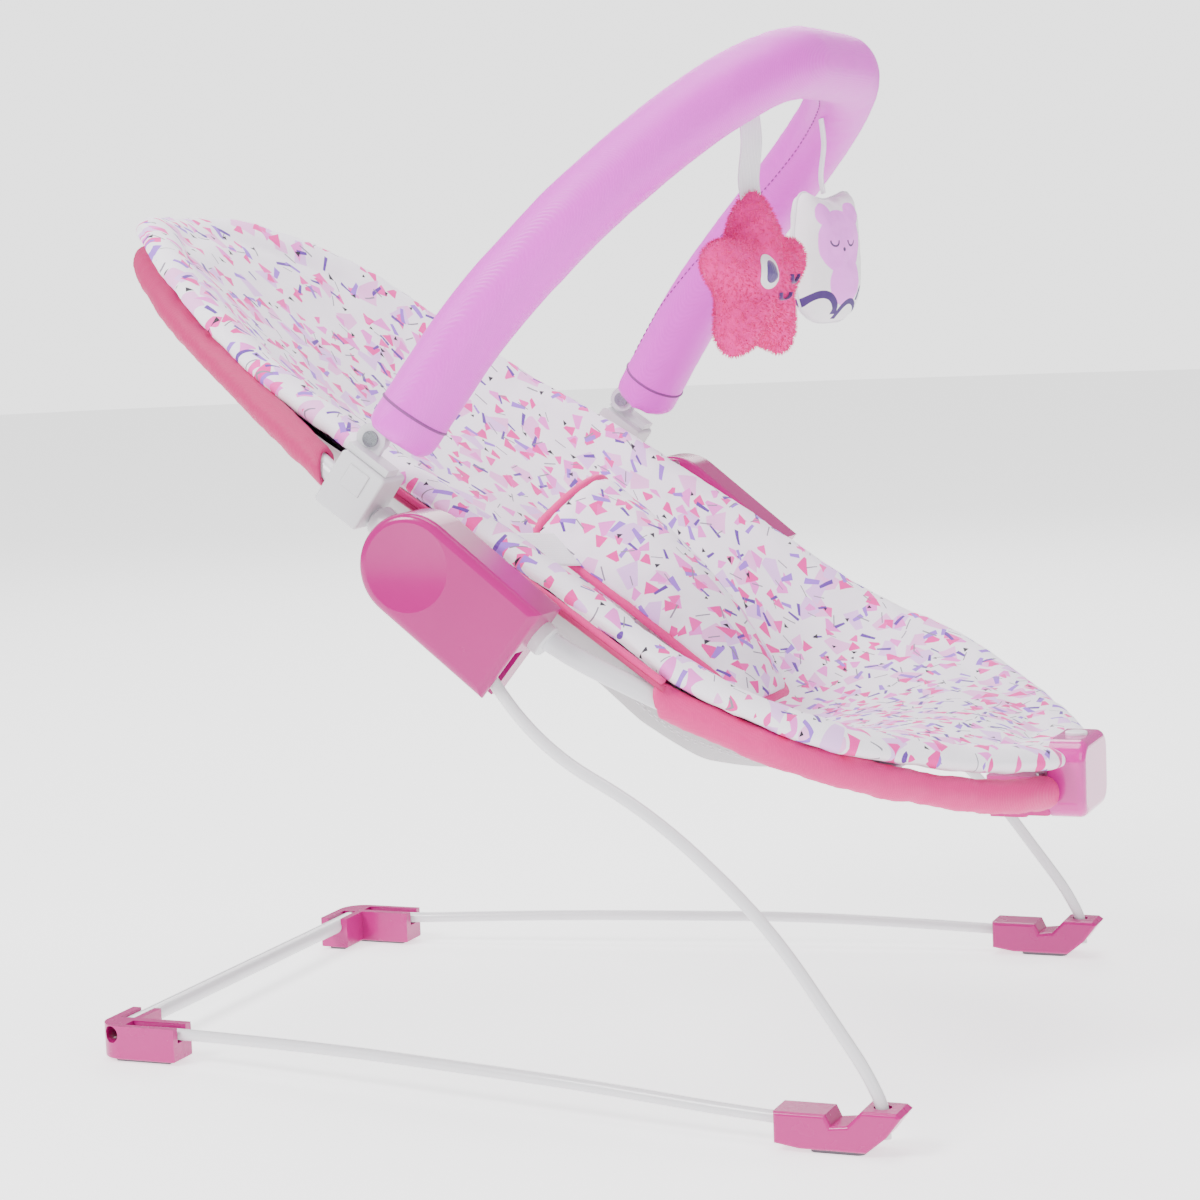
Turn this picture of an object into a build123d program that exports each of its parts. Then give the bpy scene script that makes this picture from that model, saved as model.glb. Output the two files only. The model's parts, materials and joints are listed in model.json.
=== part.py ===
from build123d import *
import os
from math import atan2, cos, degrees, pi, radians, sin, tan

# Baby bouncer seat.  Millimetres, +Z up, +X towards the foot end, +Y towards the child's left.
# The origin is on the floor under the middle of the bounding box.

# ---------------------------------------------------------------- driving dimensions
ARC_SHARE = 0.45          # part of the shorter run that a tube bend may take up
TUBE_R = 6.0              # seat and back hoops, steel tube
TUBE_BORE_R = 4.8
WIRE_R = 3.5              # floor rails and legs, steel rod
REAR_BAR_R = 5.2
REAR_BAR_X = -268.0
REAR_BAR_Z = 17.0
REAR_BAR_HALF = 149.0
REAR_CORNER_Y = 161.0
FOOT_Y = 229.0            # mid-plane of each front foot
FOOT_HALF_WIDTH = 12.0
BOUNCE_X = 236.0          # where each leg stands in its front foot
BOUNCE_Z = 14.0
LEG_COLLAR_R = 4.9

HUB_X = -30.0             # recline pivot
HUB_Z = 308.0
HUB_PITCH = 39.4          # fall of the hub housing towards the foot end, degrees
HUB_R = 30.0
HUB_LENGTH = 77.0         # pivot to the square lower end
HUB_INNER_Y = 190.0
HUB_SPLIT_Y = 207.0
HUB_OUTER_Y = 224.0
HUB_WALL = 2.4
HUB_FACE_WALL = 4.0
DISH_R = 25.0
DISH_DEPTH = 2.2
PIN_R = 4.0
KNUCKLE_R = 12.0
KNUCKLE_Y = 213.0
KNUCKLE_HALF = 4.0
HOOP_Y = 200.0            # mid-plane of the hoop ends inside the hubs
RUNNING_FIT = 0.04
SCREW_R = 1.5

PAD_DEPTH = 14.0          # height of the pad's puffy border
PAD_THICKNESS = 12.0      # pad over the middle of the seat
PAD_BORDER = 24.0         # width of the border that lies over the hoops
HOOP_INSET = 9.0          # hoop centre inside the pad's outline
HOOP_DROP = 10.5          # hoop centre below the pad's edge
WRAP_R = 10.0
SLING_THICKNESS = 4.0

UNIT_HALF = 31.0          # half width of the vibration unit
UNIT_X = 279.0            # hoop axis through the unit, and its split plane
UNIT_Z = 158.5
UNIT_FRONT_X = 300.5
UNIT_TOP = 187.0
UNIT_BOTTOM = 142.0
UNIT_WALL = 2.0

BAR_CORE_R = 7.0
BAR_SLEEVE_R = 21.0
BAR_PIVOT_U = -9.0       # toy-bar rivet in the bracket's own frame
BAR_PIVOT_N = 36.0
BRACKET_X = -76.0

# Pad outline and profile: x, half width, height of the edge, sag of the middle below the border.
PAD_STATIONS = (
    (-299.0, 24.0, 497.0, 2.0),
    (-289.0, 48.0, 495.0, 3.0),
    (-270.0, 76.0, 490.0, 10.0),
    (-243.0, 110.0, 474.0, 22.0),
    (-208.0, 136.0, 449.0, 34.0),
    (-160.0, 154.0, 411.0, 45.0),
    (-110.0, 164.0, 378.0, 53.0),
    (-60.0, 172.0, 348.0, 60.0),
    (-10.0, 174.5, 315.5, 66.0),
    (40.0, 176.0, 283.0, 72.0),
    (75.0, 178.0, 259.0, 76.0),
    (115.0, 182.0, 233.0, 58.0),
    (165.0, 181.0, 212.0, 32.0),
    (192.0, 168.0, 200.0, 18.0),
    (216.0, 147.0, 190.5, 9.0),
    (240.0, 120.0, 182.0, 6.0),
    (262.0, 90.0, 175.5, 5.0),
    (280.0, 58.0, 171.0, 3.0),
    (289.0, 36.0, 169.0, 2.0),
)
# Sling: x, half width, top edge, lowest point of the outside.
SLING_STATIONS = (
    (-255.0, 83.0, 460.0, 449.0),
    (-208.0, 124.0, 428.0, 409.0),
    (-160.0, 144.0, 389.5, 361.0),
    (-105.0, 160.0, 354.0, 317.0),
    (-60.0, 169.0, 345.0, 283.5),
    (40.0, 172.0, 281.0, 206.0),
    (62.0, 172.0, 266.0, 185.0),
    (92.0, 169.0, 216.0, 172.0),
    (115.0, 171.0, 206.0, 171.0),
    (165.0, 170.0, 186.0, 173.5),
    (192.0, 157.0, 176.5, 171.0),
)


# ---------------------------------------------------------------- helpers
def corner_radii(points):
    """Bend radius at each inner point of a route, as large as its two runs allow."""
    vectors = [Vector(*point) for point in points]
    radii = []
    for before, here, after in zip(vectors, vectors[1:], vectors[2:]):
        turn = radians((here - before).get_angle(after - here))
        radii.append(ARC_SHARE * min((here - before).length, (after - here).length) / tan(turn / 2))
    return radii


def both_sides(half_route):
    """A right-hand route and its mirror image, joined into one symmetric route."""
    return list(half_route) + [(x, -y, z) for x, y, z in reversed(half_route)]


def round_tube(points, outer_radius, bore_radius=0.0):
    """Round tube or rod along straight runs joined by tangent arcs."""
    with BuildPart() as tube:
        with BuildLine() as route:
            FilletPolyline(*points, radius=corner_radii(points))
        with BuildSketch(Plane(origin=route.line @ 0, z_dir=route.line % 0)):
            Circle(outer_radius)
            if bore_radius:
                Circle(bore_radius, mode=Mode.SUBTRACT)
        sweep()
    return tube.part


def keep(solid, name):
    """Label a finished piece and write it."""
    solid.label = name
    export_step(solid, f"parts/{name}.step")


def keep_pair(solid, name):
    """Write a right-hand piece and its mirror image for the left."""
    keep(solid, f"{name}_right")
    keep(mirror(solid, about=Plane.XZ), f"{name}_left")


def frame_point(origin, along, up, a, n, y):
    """Point given along and across a tilted frame that stands in the XZ plane."""
    return (origin[0] + along[0] * a + up[0] * n, y, origin[1] + along[1] * a + up[1] * n)


os.makedirs("parts", exist_ok=True)

# ---------------------------------------------------------------- tilted frames
HUB_ALONG = (cos(radians(HUB_PITCH)), -sin(radians(HUB_PITCH)))
HUB_UP = (sin(radians(HUB_PITCH)), cos(radians(HUB_PITCH)))


def hub_point(a, n, y):
    return frame_point((HUB_X, HUB_Z), HUB_ALONG, HUB_UP, a, n, y)


def hub_plane(y):
    """Sketch plane of the right-hand hub: x along the hub, y across it, z outwards."""
    return Plane(origin=(HUB_X, -y, HUB_Z), x_dir=(HUB_ALONG[0], 0, HUB_ALONG[1]), z_dir=(0, -1, 0))


# ---------------------------------------------------------------- routes of the tubes and rods
SEAT_HOOP_OFFSET = 12.0   # seat hoop above the hub's centre line
BACK_START = (-42.0, -198.0, 318.0)
BACK_ROUTE = [
    BACK_START,
    (-110.0, -176.0, 368.0),
    (-222.0, -124.0, 447.0),
    (-272.0, -74.0, 480.0),
    (-290.5, -30.0, 485.0),
]
SEAT_ROUTE = [
    hub_point(20.0, SEAT_HOOP_OFFSET, -HOOP_Y),
    hub_point(88.0, SEAT_HOOP_OFFSET, -HOOP_Y),
    (112.0, -173.0, 223.0),
    (168.0, -172.0, 200.0),
    (222.0, -133.0, 178.0),
    (262.0, -83.0, 163.5),
    (UNIT_X, -42.0, UNIT_Z),
]
RAIL_ROUTE = [
    (-260.0, -REAR_CORNER_Y, REAR_BAR_Z),
    (-222.0, -162.5, 17.6),
    (-110.0, -182.0, 20.6),
    (50.0, -212.0, 20.4),
    (150.0, -226.0, 15.8),
    (204.0, -FOOT_Y, 13.6),
]
LEG_START_A = 14.0        # wire begins this far from the pivot, inside the knuckle
LEG_BEND = (40.0, -214.0, 209.0)
LEG_DIRECTION = Vector(LEG_BEND[0] - HUB_X, LEG_BEND[1] + KNUCKLE_Y, LEG_BEND[2] - HUB_Z).normalized()
LEG_START = Vector(HUB_X, -KNUCKLE_Y, HUB_Z) + LEG_DIRECTION * LEG_START_A
LEG_ROUTE = [
    tuple(LEG_START),
    LEG_BEND,
    (108.0, -217.5, 173.5),
    (172.0, -222.5, 119.0),
    (225.5, -228.0, 45.0),
    (BOUNCE_X, -FOOT_Y, 25.0),
    (BOUNCE_X + 0.4, -FOOT_Y, 8.0),
]
BAR_ROUTE = [
    (-41.0, -188.5, 385.5),
    (0.0, -176.5, 445.0),
    (62.0, -158.0, 508.0),
    (112.0, -122.0, 553.0),
    (144.0, -66.0, 580.0),
]

# ---------------------------------------------------------------- floor frame
with BuildPart() as rear_bar:
    with BuildSketch(Plane(origin=(REAR_BAR_X, -REAR_BAR_HALF, REAR_BAR_Z), z_dir=(0, 1, 0))):
        Circle(REAR_BAR_R)
        Circle(REAR_BAR_R - 1.2, mode=Mode.SUBTRACT)
    extrude(amount=2 * REAR_BAR_HALF)
keep(rear_bar.part, "rear_bar")

rail = round_tube(RAIL_ROUTE, WIRE_R)
keep_pair(rail, "rail_wire")

REAR_FOOT_TOP = 22.6
PAD_SHOE = 2.0            # rubber shoe under each foot
with BuildPart() as rear_foot:
    with BuildSketch(Plane.XY.offset(PAD_SHOE)):
        with BuildLine():
            Polyline(
                (REAR_BAR_X - 10.5, -127.0), (REAR_BAR_X - 10.5, -172.5), (-224.0, -172.5),
                (-224.0, -151.0), (REAR_BAR_X + 9.5, -151.0), (REAR_BAR_X + 9.5, -127.0), close=True,
            )
        make_face()
    extrude(amount=REAR_FOOT_TOP - PAD_SHOE)
    fillet(rear_foot.edges().filter_by(Axis.Z).group_by(Axis.X)[0].group_by(Axis.Y)[0], 16.0)
    with Locations((REAR_BAR_X, -127.0 - 24.0, REAR_BAR_Z)):
        Cylinder(REAR_BAR_R, 48.2, rotation=(90, 0, 0), mode=Mode.SUBTRACT)
    with Locations((REAR_BAR_X, -127.0 - 12.0, REAR_FOOT_TOP)):
        Box(2 * REAR_BAR_R - 1.0, 24.2, 2 * (REAR_FOOT_TOP - REAR_BAR_Z), mode=Mode.SUBTRACT)
    with Locations((-241.0, -REAR_CORNER_Y - 1.5, REAR_FOOT_TOP)):
        Box(38.2, 2 * WIRE_R + 3.0, 2 * (REAR_FOOT_TOP - REAR_BAR_Z + WIRE_R + 0.3), mode=Mode.SUBTRACT)
    fillet(rear_foot.faces().sort_by(Axis.Z)[0].outer_wire().edges(), 1.2)
keep_pair(rear_foot.part, "rear_foot")

with BuildPart() as rear_foot_shoe:
    with BuildSketch(Plane.XY):
        with BuildLine():
            Polyline(
                (-274.0, -131.0), (-274.0, -160.0), (-266.0, -168.0), (-230.0, -168.0),
                (-230.0, -156.0), (-263.0, -156.0), (-263.0, -131.0), close=True,
            )
        make_face()
    extrude(amount=PAD_SHOE)
keep_pair(rear_foot_shoe.part, "rear_foot_pad")

with BuildPart() as front_foot:
    with BuildSketch(Plane(origin=(0, -FOOT_Y, 0), x_dir=(1, 0, 0), z_dir=(0, -1, 0))):
        with BuildLine():
            Polyline(
                (178.0, 4.2), (192.0, PAD_SHOE), (229.0, PAD_SHOE), (240.0, 11.0), (249.0, 22.6),
                (246.0, 24.7), (227.0, 24.7), (219.0, 16.4), (210.0, 15.4), (207.0, 21.6),
                (178.0, 21.6), close=True,
            )
        make_face()
    extrude(amount=FOOT_HALF_WIDTH, both=True)
    fillet(front_foot.faces().group_by(Axis.Y)[0].edges() + front_foot.faces().group_by(Axis.Y)[-1].edges(), 2.2)
    add(rail, mode=Mode.SUBTRACT)
    with Locations((BOUNCE_X - 0.4, -FOOT_Y, 26.0)):
        Cylinder(LEG_COLLAR_R, 40.0, mode=Mode.SUBTRACT)
    with Locations((192.0, -FOOT_Y, 2.2)):
        Cylinder(SCREW_R, 16.0, mode=Mode.SUBTRACT)
keep_pair(front_foot.part, "front_foot")

with BuildPart() as front_foot_shoe:
    with BuildSketch(Plane.XY):
        with Locations((212.0, -FOOT_Y)):
            RectangleRounded(30.0, 17.0, 4.0)
    extrude(amount=PAD_SHOE)
keep_pair(front_foot_shoe.part, "front_foot_pad")

with BuildPart() as foot_screws:
    for side in (-1, 1):
        with Locations((192.0, side * FOOT_Y, 6.2)):
            Cylinder(SCREW_R, 7.6)
keep(foot_screws.part, "foot_screws")

# ---------------------------------------------------------------- legs
keep_pair(round_tube(LEG_ROUTE, WIRE_R), "leg_wire")

KNUCKLE_BOSS_R = 4.8
KNUCKLE_BOSS_END = 30.0
with BuildPart() as leg_knuckle:
    with BuildSketch(Plane(origin=(HUB_X, -KNUCKLE_Y + KNUCKLE_HALF, HUB_Z), z_dir=(0, -1, 0))):
        Circle(KNUCKLE_R)
    extrude(amount=2 * KNUCKLE_HALF)
    with BuildSketch(Plane(origin=(HUB_X, -KNUCKLE_Y, HUB_Z), z_dir=LEG_DIRECTION)):
        Circle(KNUCKLE_BOSS_R)
    extrude(amount=KNUCKLE_BOSS_END)
    with BuildSketch(Plane(origin=LEG_START, z_dir=LEG_DIRECTION)):
        Circle(WIRE_R)
    extrude(amount=KNUCKLE_BOSS_END, mode=Mode.SUBTRACT)
    with BuildSketch(Plane(origin=(HUB_X, -KNUCKLE_Y + 10.0, HUB_Z), z_dir=(0, -1, 0))):
        Circle(PIN_R + RUNNING_FIT)
    extrude(amount=20.0, mode=Mode.SUBTRACT)
keep_pair(leg_knuckle.part, "leg_knuckle")

# ---------------------------------------------------------------- hoops of the seat frame
back_hoop_bar = round_tube(both_sides(BACK_ROUTE), TUBE_R)
seat_hoop_bar = round_tube(both_sides(SEAT_ROUTE), TUBE_R)
back_wrap_bar = round_tube(both_sides(BACK_ROUTE), WRAP_R)
seat_wrap_bar = round_tube(both_sides(SEAT_ROUTE), WRAP_R)
back_hoop_tube = round_tube(both_sides(BACK_ROUTE), TUBE_R, TUBE_BORE_R)
seat_hoop_tube = round_tube(both_sides(SEAT_ROUTE), TUBE_R, TUBE_BORE_R)
keep(back_hoop_tube, "back_hoop")
keep(seat_hoop_tube, "seat_hoop")

# ---------------------------------------------------------------- hubs
HUB_SCREWS = ((62.0, 24.3), (30.0, -22.6), (-12.0, 21.5))
SCREW_HEAD_R = 3.0
BOSS_R = 3.8
SLOT_INNER_Y = 208.1
SLOT_OUTER_Y = 218.2


def hub_outline():
    """Round end about the recline pivot, square lower end."""
    Circle(HUB_R)
    with Locations((HUB_LENGTH / 2, 0)):
        Rectangle(HUB_LENGTH, 2 * HUB_R)


with BuildPart() as hub_cover:
    with BuildSketch(hub_plane(HUB_SPLIT_Y)):
        hub_outline()
    extrude(amount=HUB_OUTER_Y - HUB_SPLIT_Y)
    fillet(hub_cover.faces().sort_by(Axis.Y)[0].edges(), 5.0)
    with BuildSketch(hub_plane(HUB_SPLIT_Y)) as cavity:
        hub_outline()
        offset(amount=-HUB_WALL)
    extrude(amount=HUB_OUTER_Y - HUB_FACE_WALL - HUB_SPLIT_Y, mode=Mode.SUBTRACT)
    for boss in HUB_SCREWS:
        with BuildSketch(hub_plane(HUB_SPLIT_Y)):
            with Locations(boss):
                Circle(BOSS_R)
        extrude(amount=HUB_OUTER_Y - HUB_FACE_WALL - HUB_SPLIT_Y)
        with BuildSketch(hub_plane(HUB_SPLIT_Y)):
            with Locations(boss):
                Circle(SCREW_R)
        extrude(amount=9.0, mode=Mode.SUBTRACT)
    # Window that the leg sweeps through as the seat reclines.
    with BuildSketch(hub_plane(SLOT_INNER_Y - 2.0)):
        with BuildLine():
            Polyline((14.0, 2.0), (95.0, 2.0), (95.0, -40.0), (71.0, -34.0), (34.0, -18.0), (14.0, -12.0), close=True)
        make_face()
    extrude(amount=SLOT_OUTER_Y - SLOT_INNER_Y + 2.0, mode=Mode.SUBTRACT)
    DISH_SPHERE_R = (DISH_R ** 2 + DISH_DEPTH ** 2) / (2 * DISH_DEPTH)
    with Locations((HUB_X, -(HUB_OUTER_Y - DISH_DEPTH + DISH_SPHERE_R), HUB_Z)):
        Sphere(DISH_SPHERE_R, mode=Mode.SUBTRACT)
keep_pair(hub_cover.part, "hub_cover")

with BuildPart() as hub_base:
    with BuildSketch(hub_plane(HUB_INNER_Y)):
        hub_outline()
    extrude(amount=HUB_SPLIT_Y - HUB_INNER_Y)
    fillet(hub_base.faces().sort_by(Axis.Y)[-1].edges(), 3.0)
    add(back_hoop_bar, mode=Mode.SUBTRACT)
    add(seat_hoop_bar, mode=Mode.SUBTRACT)
    with BuildSketch(hub_plane(198.0)):
        Circle(PIN_R)
    extrude(amount=20.0, mode=Mode.SUBTRACT)
    for boss in HUB_SCREWS:
        with BuildSketch(hub_plane(HUB_INNER_Y - 1.0)):
            with Locations(boss):
                Circle(SCREW_R)
        extrude(amount=30.0, mode=Mode.SUBTRACT)
        with BuildSketch(hub_plane(HUB_INNER_Y - 1.0)):
            with Locations(boss):
                Circle(SCREW_HEAD_R)
        extrude(amount=3.5, mode=Mode.SUBTRACT)
keep_pair(hub_base.part, "hub_base")

with BuildPart() as hub_pin:
    with BuildSketch(hub_plane(198.0)):
        Circle(PIN_R)
    extrude(amount=21.0)
    with BuildSketch(hub_plane(218.0)):
        Circle(6.5)
    extrude(amount=1.8)
keep_pair(hub_pin.part, "hub_pivot_pin")

with BuildPart() as hub_screw_trio:
    for boss in HUB_SCREWS:
        with BuildSketch(hub_plane(HUB_INNER_Y + 2.5)):
            with Locations(boss):
                Circle(SCREW_R)
        extrude(amount=21.0)
        with BuildSketch(hub_plane(HUB_INNER_Y + 0.6)):
            with Locations(boss):
                Circle(SCREW_HEAD_R - 0.2)
        extrude(amount=1.9)
with BuildPart() as hub_screws:
    add(hub_screw_trio.part)
    add(mirror(hub_screw_trio.part, about=Plane.XZ))
keep(hub_screws.part, "hub_screws")


def collar(hoop_bar, origin, direction, length):
    """Plastic socket ring round a hoop where it enters the hub."""
    with BuildPart() as ring:
        with BuildSketch(Plane(origin=origin, z_dir=direction)):
            Circle(COLLAR_R)
        extrude(amount=length)
        chamfer(ring.edges().filter_by(GeomType.CIRCLE).sort_by(lambda edge: (edge.center() - origin).length)[-1], 1.0)
        add(hoop_bar, mode=Mode.SUBTRACT)
    return ring.part


COLLAR_R = 9.5
HUB_AXIS = Vector(HUB_ALONG[0], 0, HUB_ALONG[1])
SEAT_SOCKET = Vector(*hub_point(HUB_LENGTH, SEAT_HOOP_OFFSET, -HOOP_Y + 0.5))
keep_pair(collar(seat_hoop_bar, SEAT_SOCKET, HUB_AXIS, 7.0), "hub_collar")
BACK_AXIS = (Vector(*BACK_ROUTE[1]) - Vector(*BACK_START)).normalized()
BACK_SOCKET = Vector(*BACK_START) + BACK_AXIS * 16.0
keep_pair(collar(back_hoop_bar, BACK_SOCKET, BACK_AXIS, 8.0), "hub_socket")

# ---------------------------------------------------------------- seat pad and fabric
BEZIER_DEPTH = 0.75       # depth of the curve over the depth of its handles


def pad_section(station):
    """Outline across the pad: puffy border on the hoops, sagging middle."""
    x, half, edge, sag = station
    inner = half - PAD_BORDER * min(1.0, half / 60.0)
    top = edge + PAD_DEPTH
    dip = sag / BEZIER_DEPTH
    low = (sag + PAD_THICKNESS - PAD_DEPTH) / BEZIER_DEPTH
    with BuildSketch(Plane(origin=(x, 0, 0), x_dir=(0, 1, 0), z_dir=(1, 0, 0))) as section:
        with BuildLine():
            Line((half, edge), (half, top - 2.0))
            Line((half, top - 2.0), (inner, top))
            Bezier((inner, top), (0.62 * inner, top - dip), (-0.62 * inner, top - dip), (-inner, top))
            Line((-inner, top), (-half, top - 2.0))
            Line((-half, top - 2.0), (-half, edge))
            Line((-half, edge), (-inner, edge))
            Bezier((-inner, edge), (-0.62 * inner, edge - low), (0.62 * inner, edge - low), (inner, edge))
            Line((inner, edge), (half, edge))
        make_face()
    return section.sketch


def sling_section(station):
    """Outline across the sling: a deep U of cloth that hangs from the hoops."""
    x, half, top, lowest = station
    outer = (top - lowest) / BEZIER_DEPTH
    inner = (top - lowest - SLING_THICKNESS) / BEZIER_DEPTH
    gap = half - SLING_THICKNESS
    with BuildSketch(Plane(origin=(x, 0, 0), x_dir=(0, 1, 0), z_dir=(1, 0, 0))) as section:
        with BuildLine():
            Bezier((half, top), (0.8 * half, top - outer), (-0.8 * half, top - outer), (-half, top))
            Line((-half, top), (-gap, top))
            Bezier((-gap, top), (-0.8 * gap, top - inner), (0.8 * gap, top - inner), (gap, top))
            Line((gap, top), (half, top))
        make_face()
    return section.sketch


with BuildPart() as seat_pad:
    loft([pad_section(station) for station in PAD_STATIONS])
    with Locations((UNIT_X - 5.0, 0, UNIT_Z + 20.0)):
        Box(34.0, 2 * UNIT_HALF + 3.0, 60.0, mode=Mode.SUBTRACT)
    add(back_wrap_bar, mode=Mode.SUBTRACT)
    add(seat_wrap_bar, mode=Mode.SUBTRACT)
keep(seat_pad.part, "seat_pad")

with BuildPart() as seat_sling:
    loft([sling_section(station) for station in SLING_STATIONS])
    add(seat_pad.part, mode=Mode.SUBTRACT)
    add(seat_wrap_bar, mode=Mode.SUBTRACT)
keep(seat_sling.part, "seat_sling")


# Head pocket round the back hoop, from one bracket over the head to the other.
HEAD_HEM = (-98.0, -179.7, 359.4)
with BuildPart() as back_edge_wrap:
    add(back_wrap_bar)
    add(back_hoop_bar, mode=Mode.SUBTRACT)
    split(bisect_by=Plane(origin=HEAD_HEM, z_dir=(1, 0, 0)), keep=Keep.BOTTOM)
keep(back_edge_wrap.part, "back_edge_wrap")

# Wide band round the seat hoop, from the hips to each side of the vibration unit.
BAND_START_X = 97.0
BAND_END_Y = 33.0
with BuildPart() as foot_edge_wrap:
    add(seat_wrap_bar)
    add(seat_hoop_bar, mode=Mode.SUBTRACT)
    split(bisect_by=Plane(origin=(BAND_START_X, 0, 0), z_dir=(1, 0, 0)), keep=Keep.TOP)
    with Locations((UNIT_X, 0, UNIT_Z)):
        Box(60.0, 2 * BAND_END_Y, 60.0, mode=Mode.SUBTRACT)
keep(foot_edge_wrap.part, "foot_edge_wrap")

# Piping strip along the pad's edge beside each hub.
PIPING_ROUTE = [
    (-84.0, -172.0, 363.6),
    (-60.0, -176.2, 348.0),
    (-10.0, -178.7, 315.5),
    (40.0, -180.2, 283.0),
    (75.0, -182.2, 259.0),
    (96.0, -184.4, 245.0),
]
with BuildPart() as side_piping_right:
    with BuildLine() as piping_line:
        FilletPolyline(*PIPING_ROUTE, radius=corner_radii(PIPING_ROUTE))
    with BuildSketch(Plane(origin=piping_line.line @ 0, z_dir=piping_line.line % 0)):
        Circle(3.0)
    sweep()
with BuildPart() as side_piping:
    add(side_piping_right.part)
    add(mirror(side_piping_right.part, about=Plane.XZ))
keep(side_piping.part, "side_piping")

# ---------------------------------------------------------------- waist strap and crotch pad
# Arched tongue: crest point, direction of the crest there, half width, rise of the arch.
TONGUE_STATIONS = (
    ((103.0, 202.0), (-0.36, 0.93), 38.0, 4.0),
    ((86.0, 240.0), (-0.50, 0.87), 42.0, 20.0),
    ((46.0, 291.0), (-0.70, 0.71), 45.0, 34.0),
    ((-6.0, 337.0), (-0.76, 0.66), 46.0, 38.0),
)
TONGUE_THICKNESS = 7.0


def tongue_section(station):
    """Arched slice through the tongue, square to its crest."""
    (x, z), (along_x, along_z), half, rise = station
    with BuildSketch(Plane(origin=(x, 0, z), x_dir=(0, 1, 0), z_dir=(along_x, 0, along_z))) as section:
        outward = -1.0 if section.workplanes[0].y_dir.Z > 0 else 1.0
        with BuildLine():
            ThreePointArc((-half, outward * rise), (0, 0), (half, outward * rise))
            Line((half, outward * rise), (half, outward * (rise + TONGUE_THICKNESS)))
            ThreePointArc(
                (half, outward * (rise + TONGUE_THICKNESS)),
                (0, outward * TONGUE_THICKNESS),
                (-half, outward * (rise + TONGUE_THICKNESS)),
            )
            Line((-half, outward * (rise + TONGUE_THICKNESS)), (-half, outward * rise))
        make_face()
    return section.sketch


STRAP_WIDTH = 25.0
STRAP_THICKNESS = 1.6
STRAP_OUTER_END = Vector(-24.0, -84.0, 301.0)
STRAP_INNER_END = Vector(4.0, -0.5, 290.0)
STRAP_RUN = STRAP_OUTER_END - STRAP_INNER_END
with BuildPart() as waist_strap:
    with BuildSketch(Plane(origin=STRAP_INNER_END, x_dir=(0.72, 0.0, -0.69), z_dir=STRAP_RUN)):
        Rectangle(STRAP_WIDTH, STRAP_THICKNESS)
    extrude(amount=STRAP_RUN.length)
    split(bisect_by=Plane.XZ.offset(0.3), keep=Keep.TOP)
keep_pair(waist_strap.part, "waist_strap")

with BuildPart() as crotch_pad:
    loft([tongue_section(station) for station in TONGUE_STATIONS])
    add(waist_strap.part, mode=Mode.SUBTRACT)
    add(mirror(waist_strap.part, about=Plane.XZ), mode=Mode.SUBTRACT)
keep(crotch_pad.part, "crotch_pad")

# ---------------------------------------------------------------- toy-bar brackets
BRACKET_SLOPE = atan2(368.0 - 318.0, 110.0 - 42.0)
BRACKET_ALONG = (cos(BRACKET_SLOPE), -sin(BRACKET_SLOPE))
BRACKET_UP = (sin(BRACKET_SLOPE), cos(BRACKET_SLOPE))
BRACKET_SHARE = (BACK_START[0] - BRACKET_X) / (BACK_START[0] - BACK_ROUTE[1][0])
BRACKET_Y = -(BACK_START[1] + BRACKET_SHARE * (BACK_ROUTE[1][1] - BACK_START[1]))
BRACKET_Z = BACK_START[2] + BRACKET_SHARE * (BACK_ROUTE[1][2] - BACK_START[2])
BRACKET_HALF_LENGTH = 15.5
BRACKET_LOW = -9.0
BRACKET_HIGH = 26.0
BRACKET_INNER_Y = 181.5
BRACKET_OUTER_Y = 208.0
SOCKET_HALF = 10.9
SOCKET_FLOOR = 8.0
TONGUE_Y = 195.0
TONGUE_HALF_Y = 5.4
LATCH_HALF = 6.9
LATCH_N = 15.0
LATCH_TRAVEL = 2.5


def bracket_point(u, n, y):
    return frame_point((BRACKET_X, BRACKET_Z), BRACKET_ALONG, BRACKET_UP, u, n, y)


def bracket_block(u0, u1, n0, n1, y0, y1):
    """Right-hand block given in the bracket's frame: along the hoop, across it, and outwards."""
    plane = Plane(
        origin=bracket_point((u0 + u1) / 2, (n0 + n1) / 2, -y0),
        x_dir=(BRACKET_ALONG[0], 0, BRACKET_ALONG[1]),
        z_dir=(0, -1, 0),
    )
    with BuildPart(mode=Mode.PRIVATE) as block:
        with BuildSketch(plane):
            Rectangle(u1 - u0, n1 - n0)
        extrude(amount=y1 - y0)
    return block.part


with BuildPart() as toy_bar_bracket:
    add(bracket_block(
        -BRACKET_HALF_LENGTH, BRACKET_HALF_LENGTH, BRACKET_LOW, BRACKET_HIGH, BRACKET_INNER_Y, BRACKET_OUTER_Y))
    fillet(toy_bar_bracket.edges().filter_by(Axis.Y), 2.5)
    fillet(toy_bar_bracket.faces().sort_by(Axis.Y)[0].edges(), 1.5)
    add(back_hoop_bar, mode=Mode.SUBTRACT)
    add(bracket_block(
        -SOCKET_HALF, SOCKET_HALF, SOCKET_FLOOR, BRACKET_HIGH + 5.0,
        TONGUE_Y - TONGUE_HALF_Y - 0.1, TONGUE_Y + TONGUE_HALF_Y + 0.1), mode=Mode.SUBTRACT)
    add(bracket_block(
        -LATCH_HALF - 0.1, LATCH_HALF + 0.1, LATCH_N - LATCH_HALF - 0.1, LATCH_N + LATCH_HALF + 0.1,
        TONGUE_Y, BRACKET_OUTER_Y + 5.0), mode=Mode.SUBTRACT)
keep_pair(toy_bar_bracket.part, "toy_bar_bracket")

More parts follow.
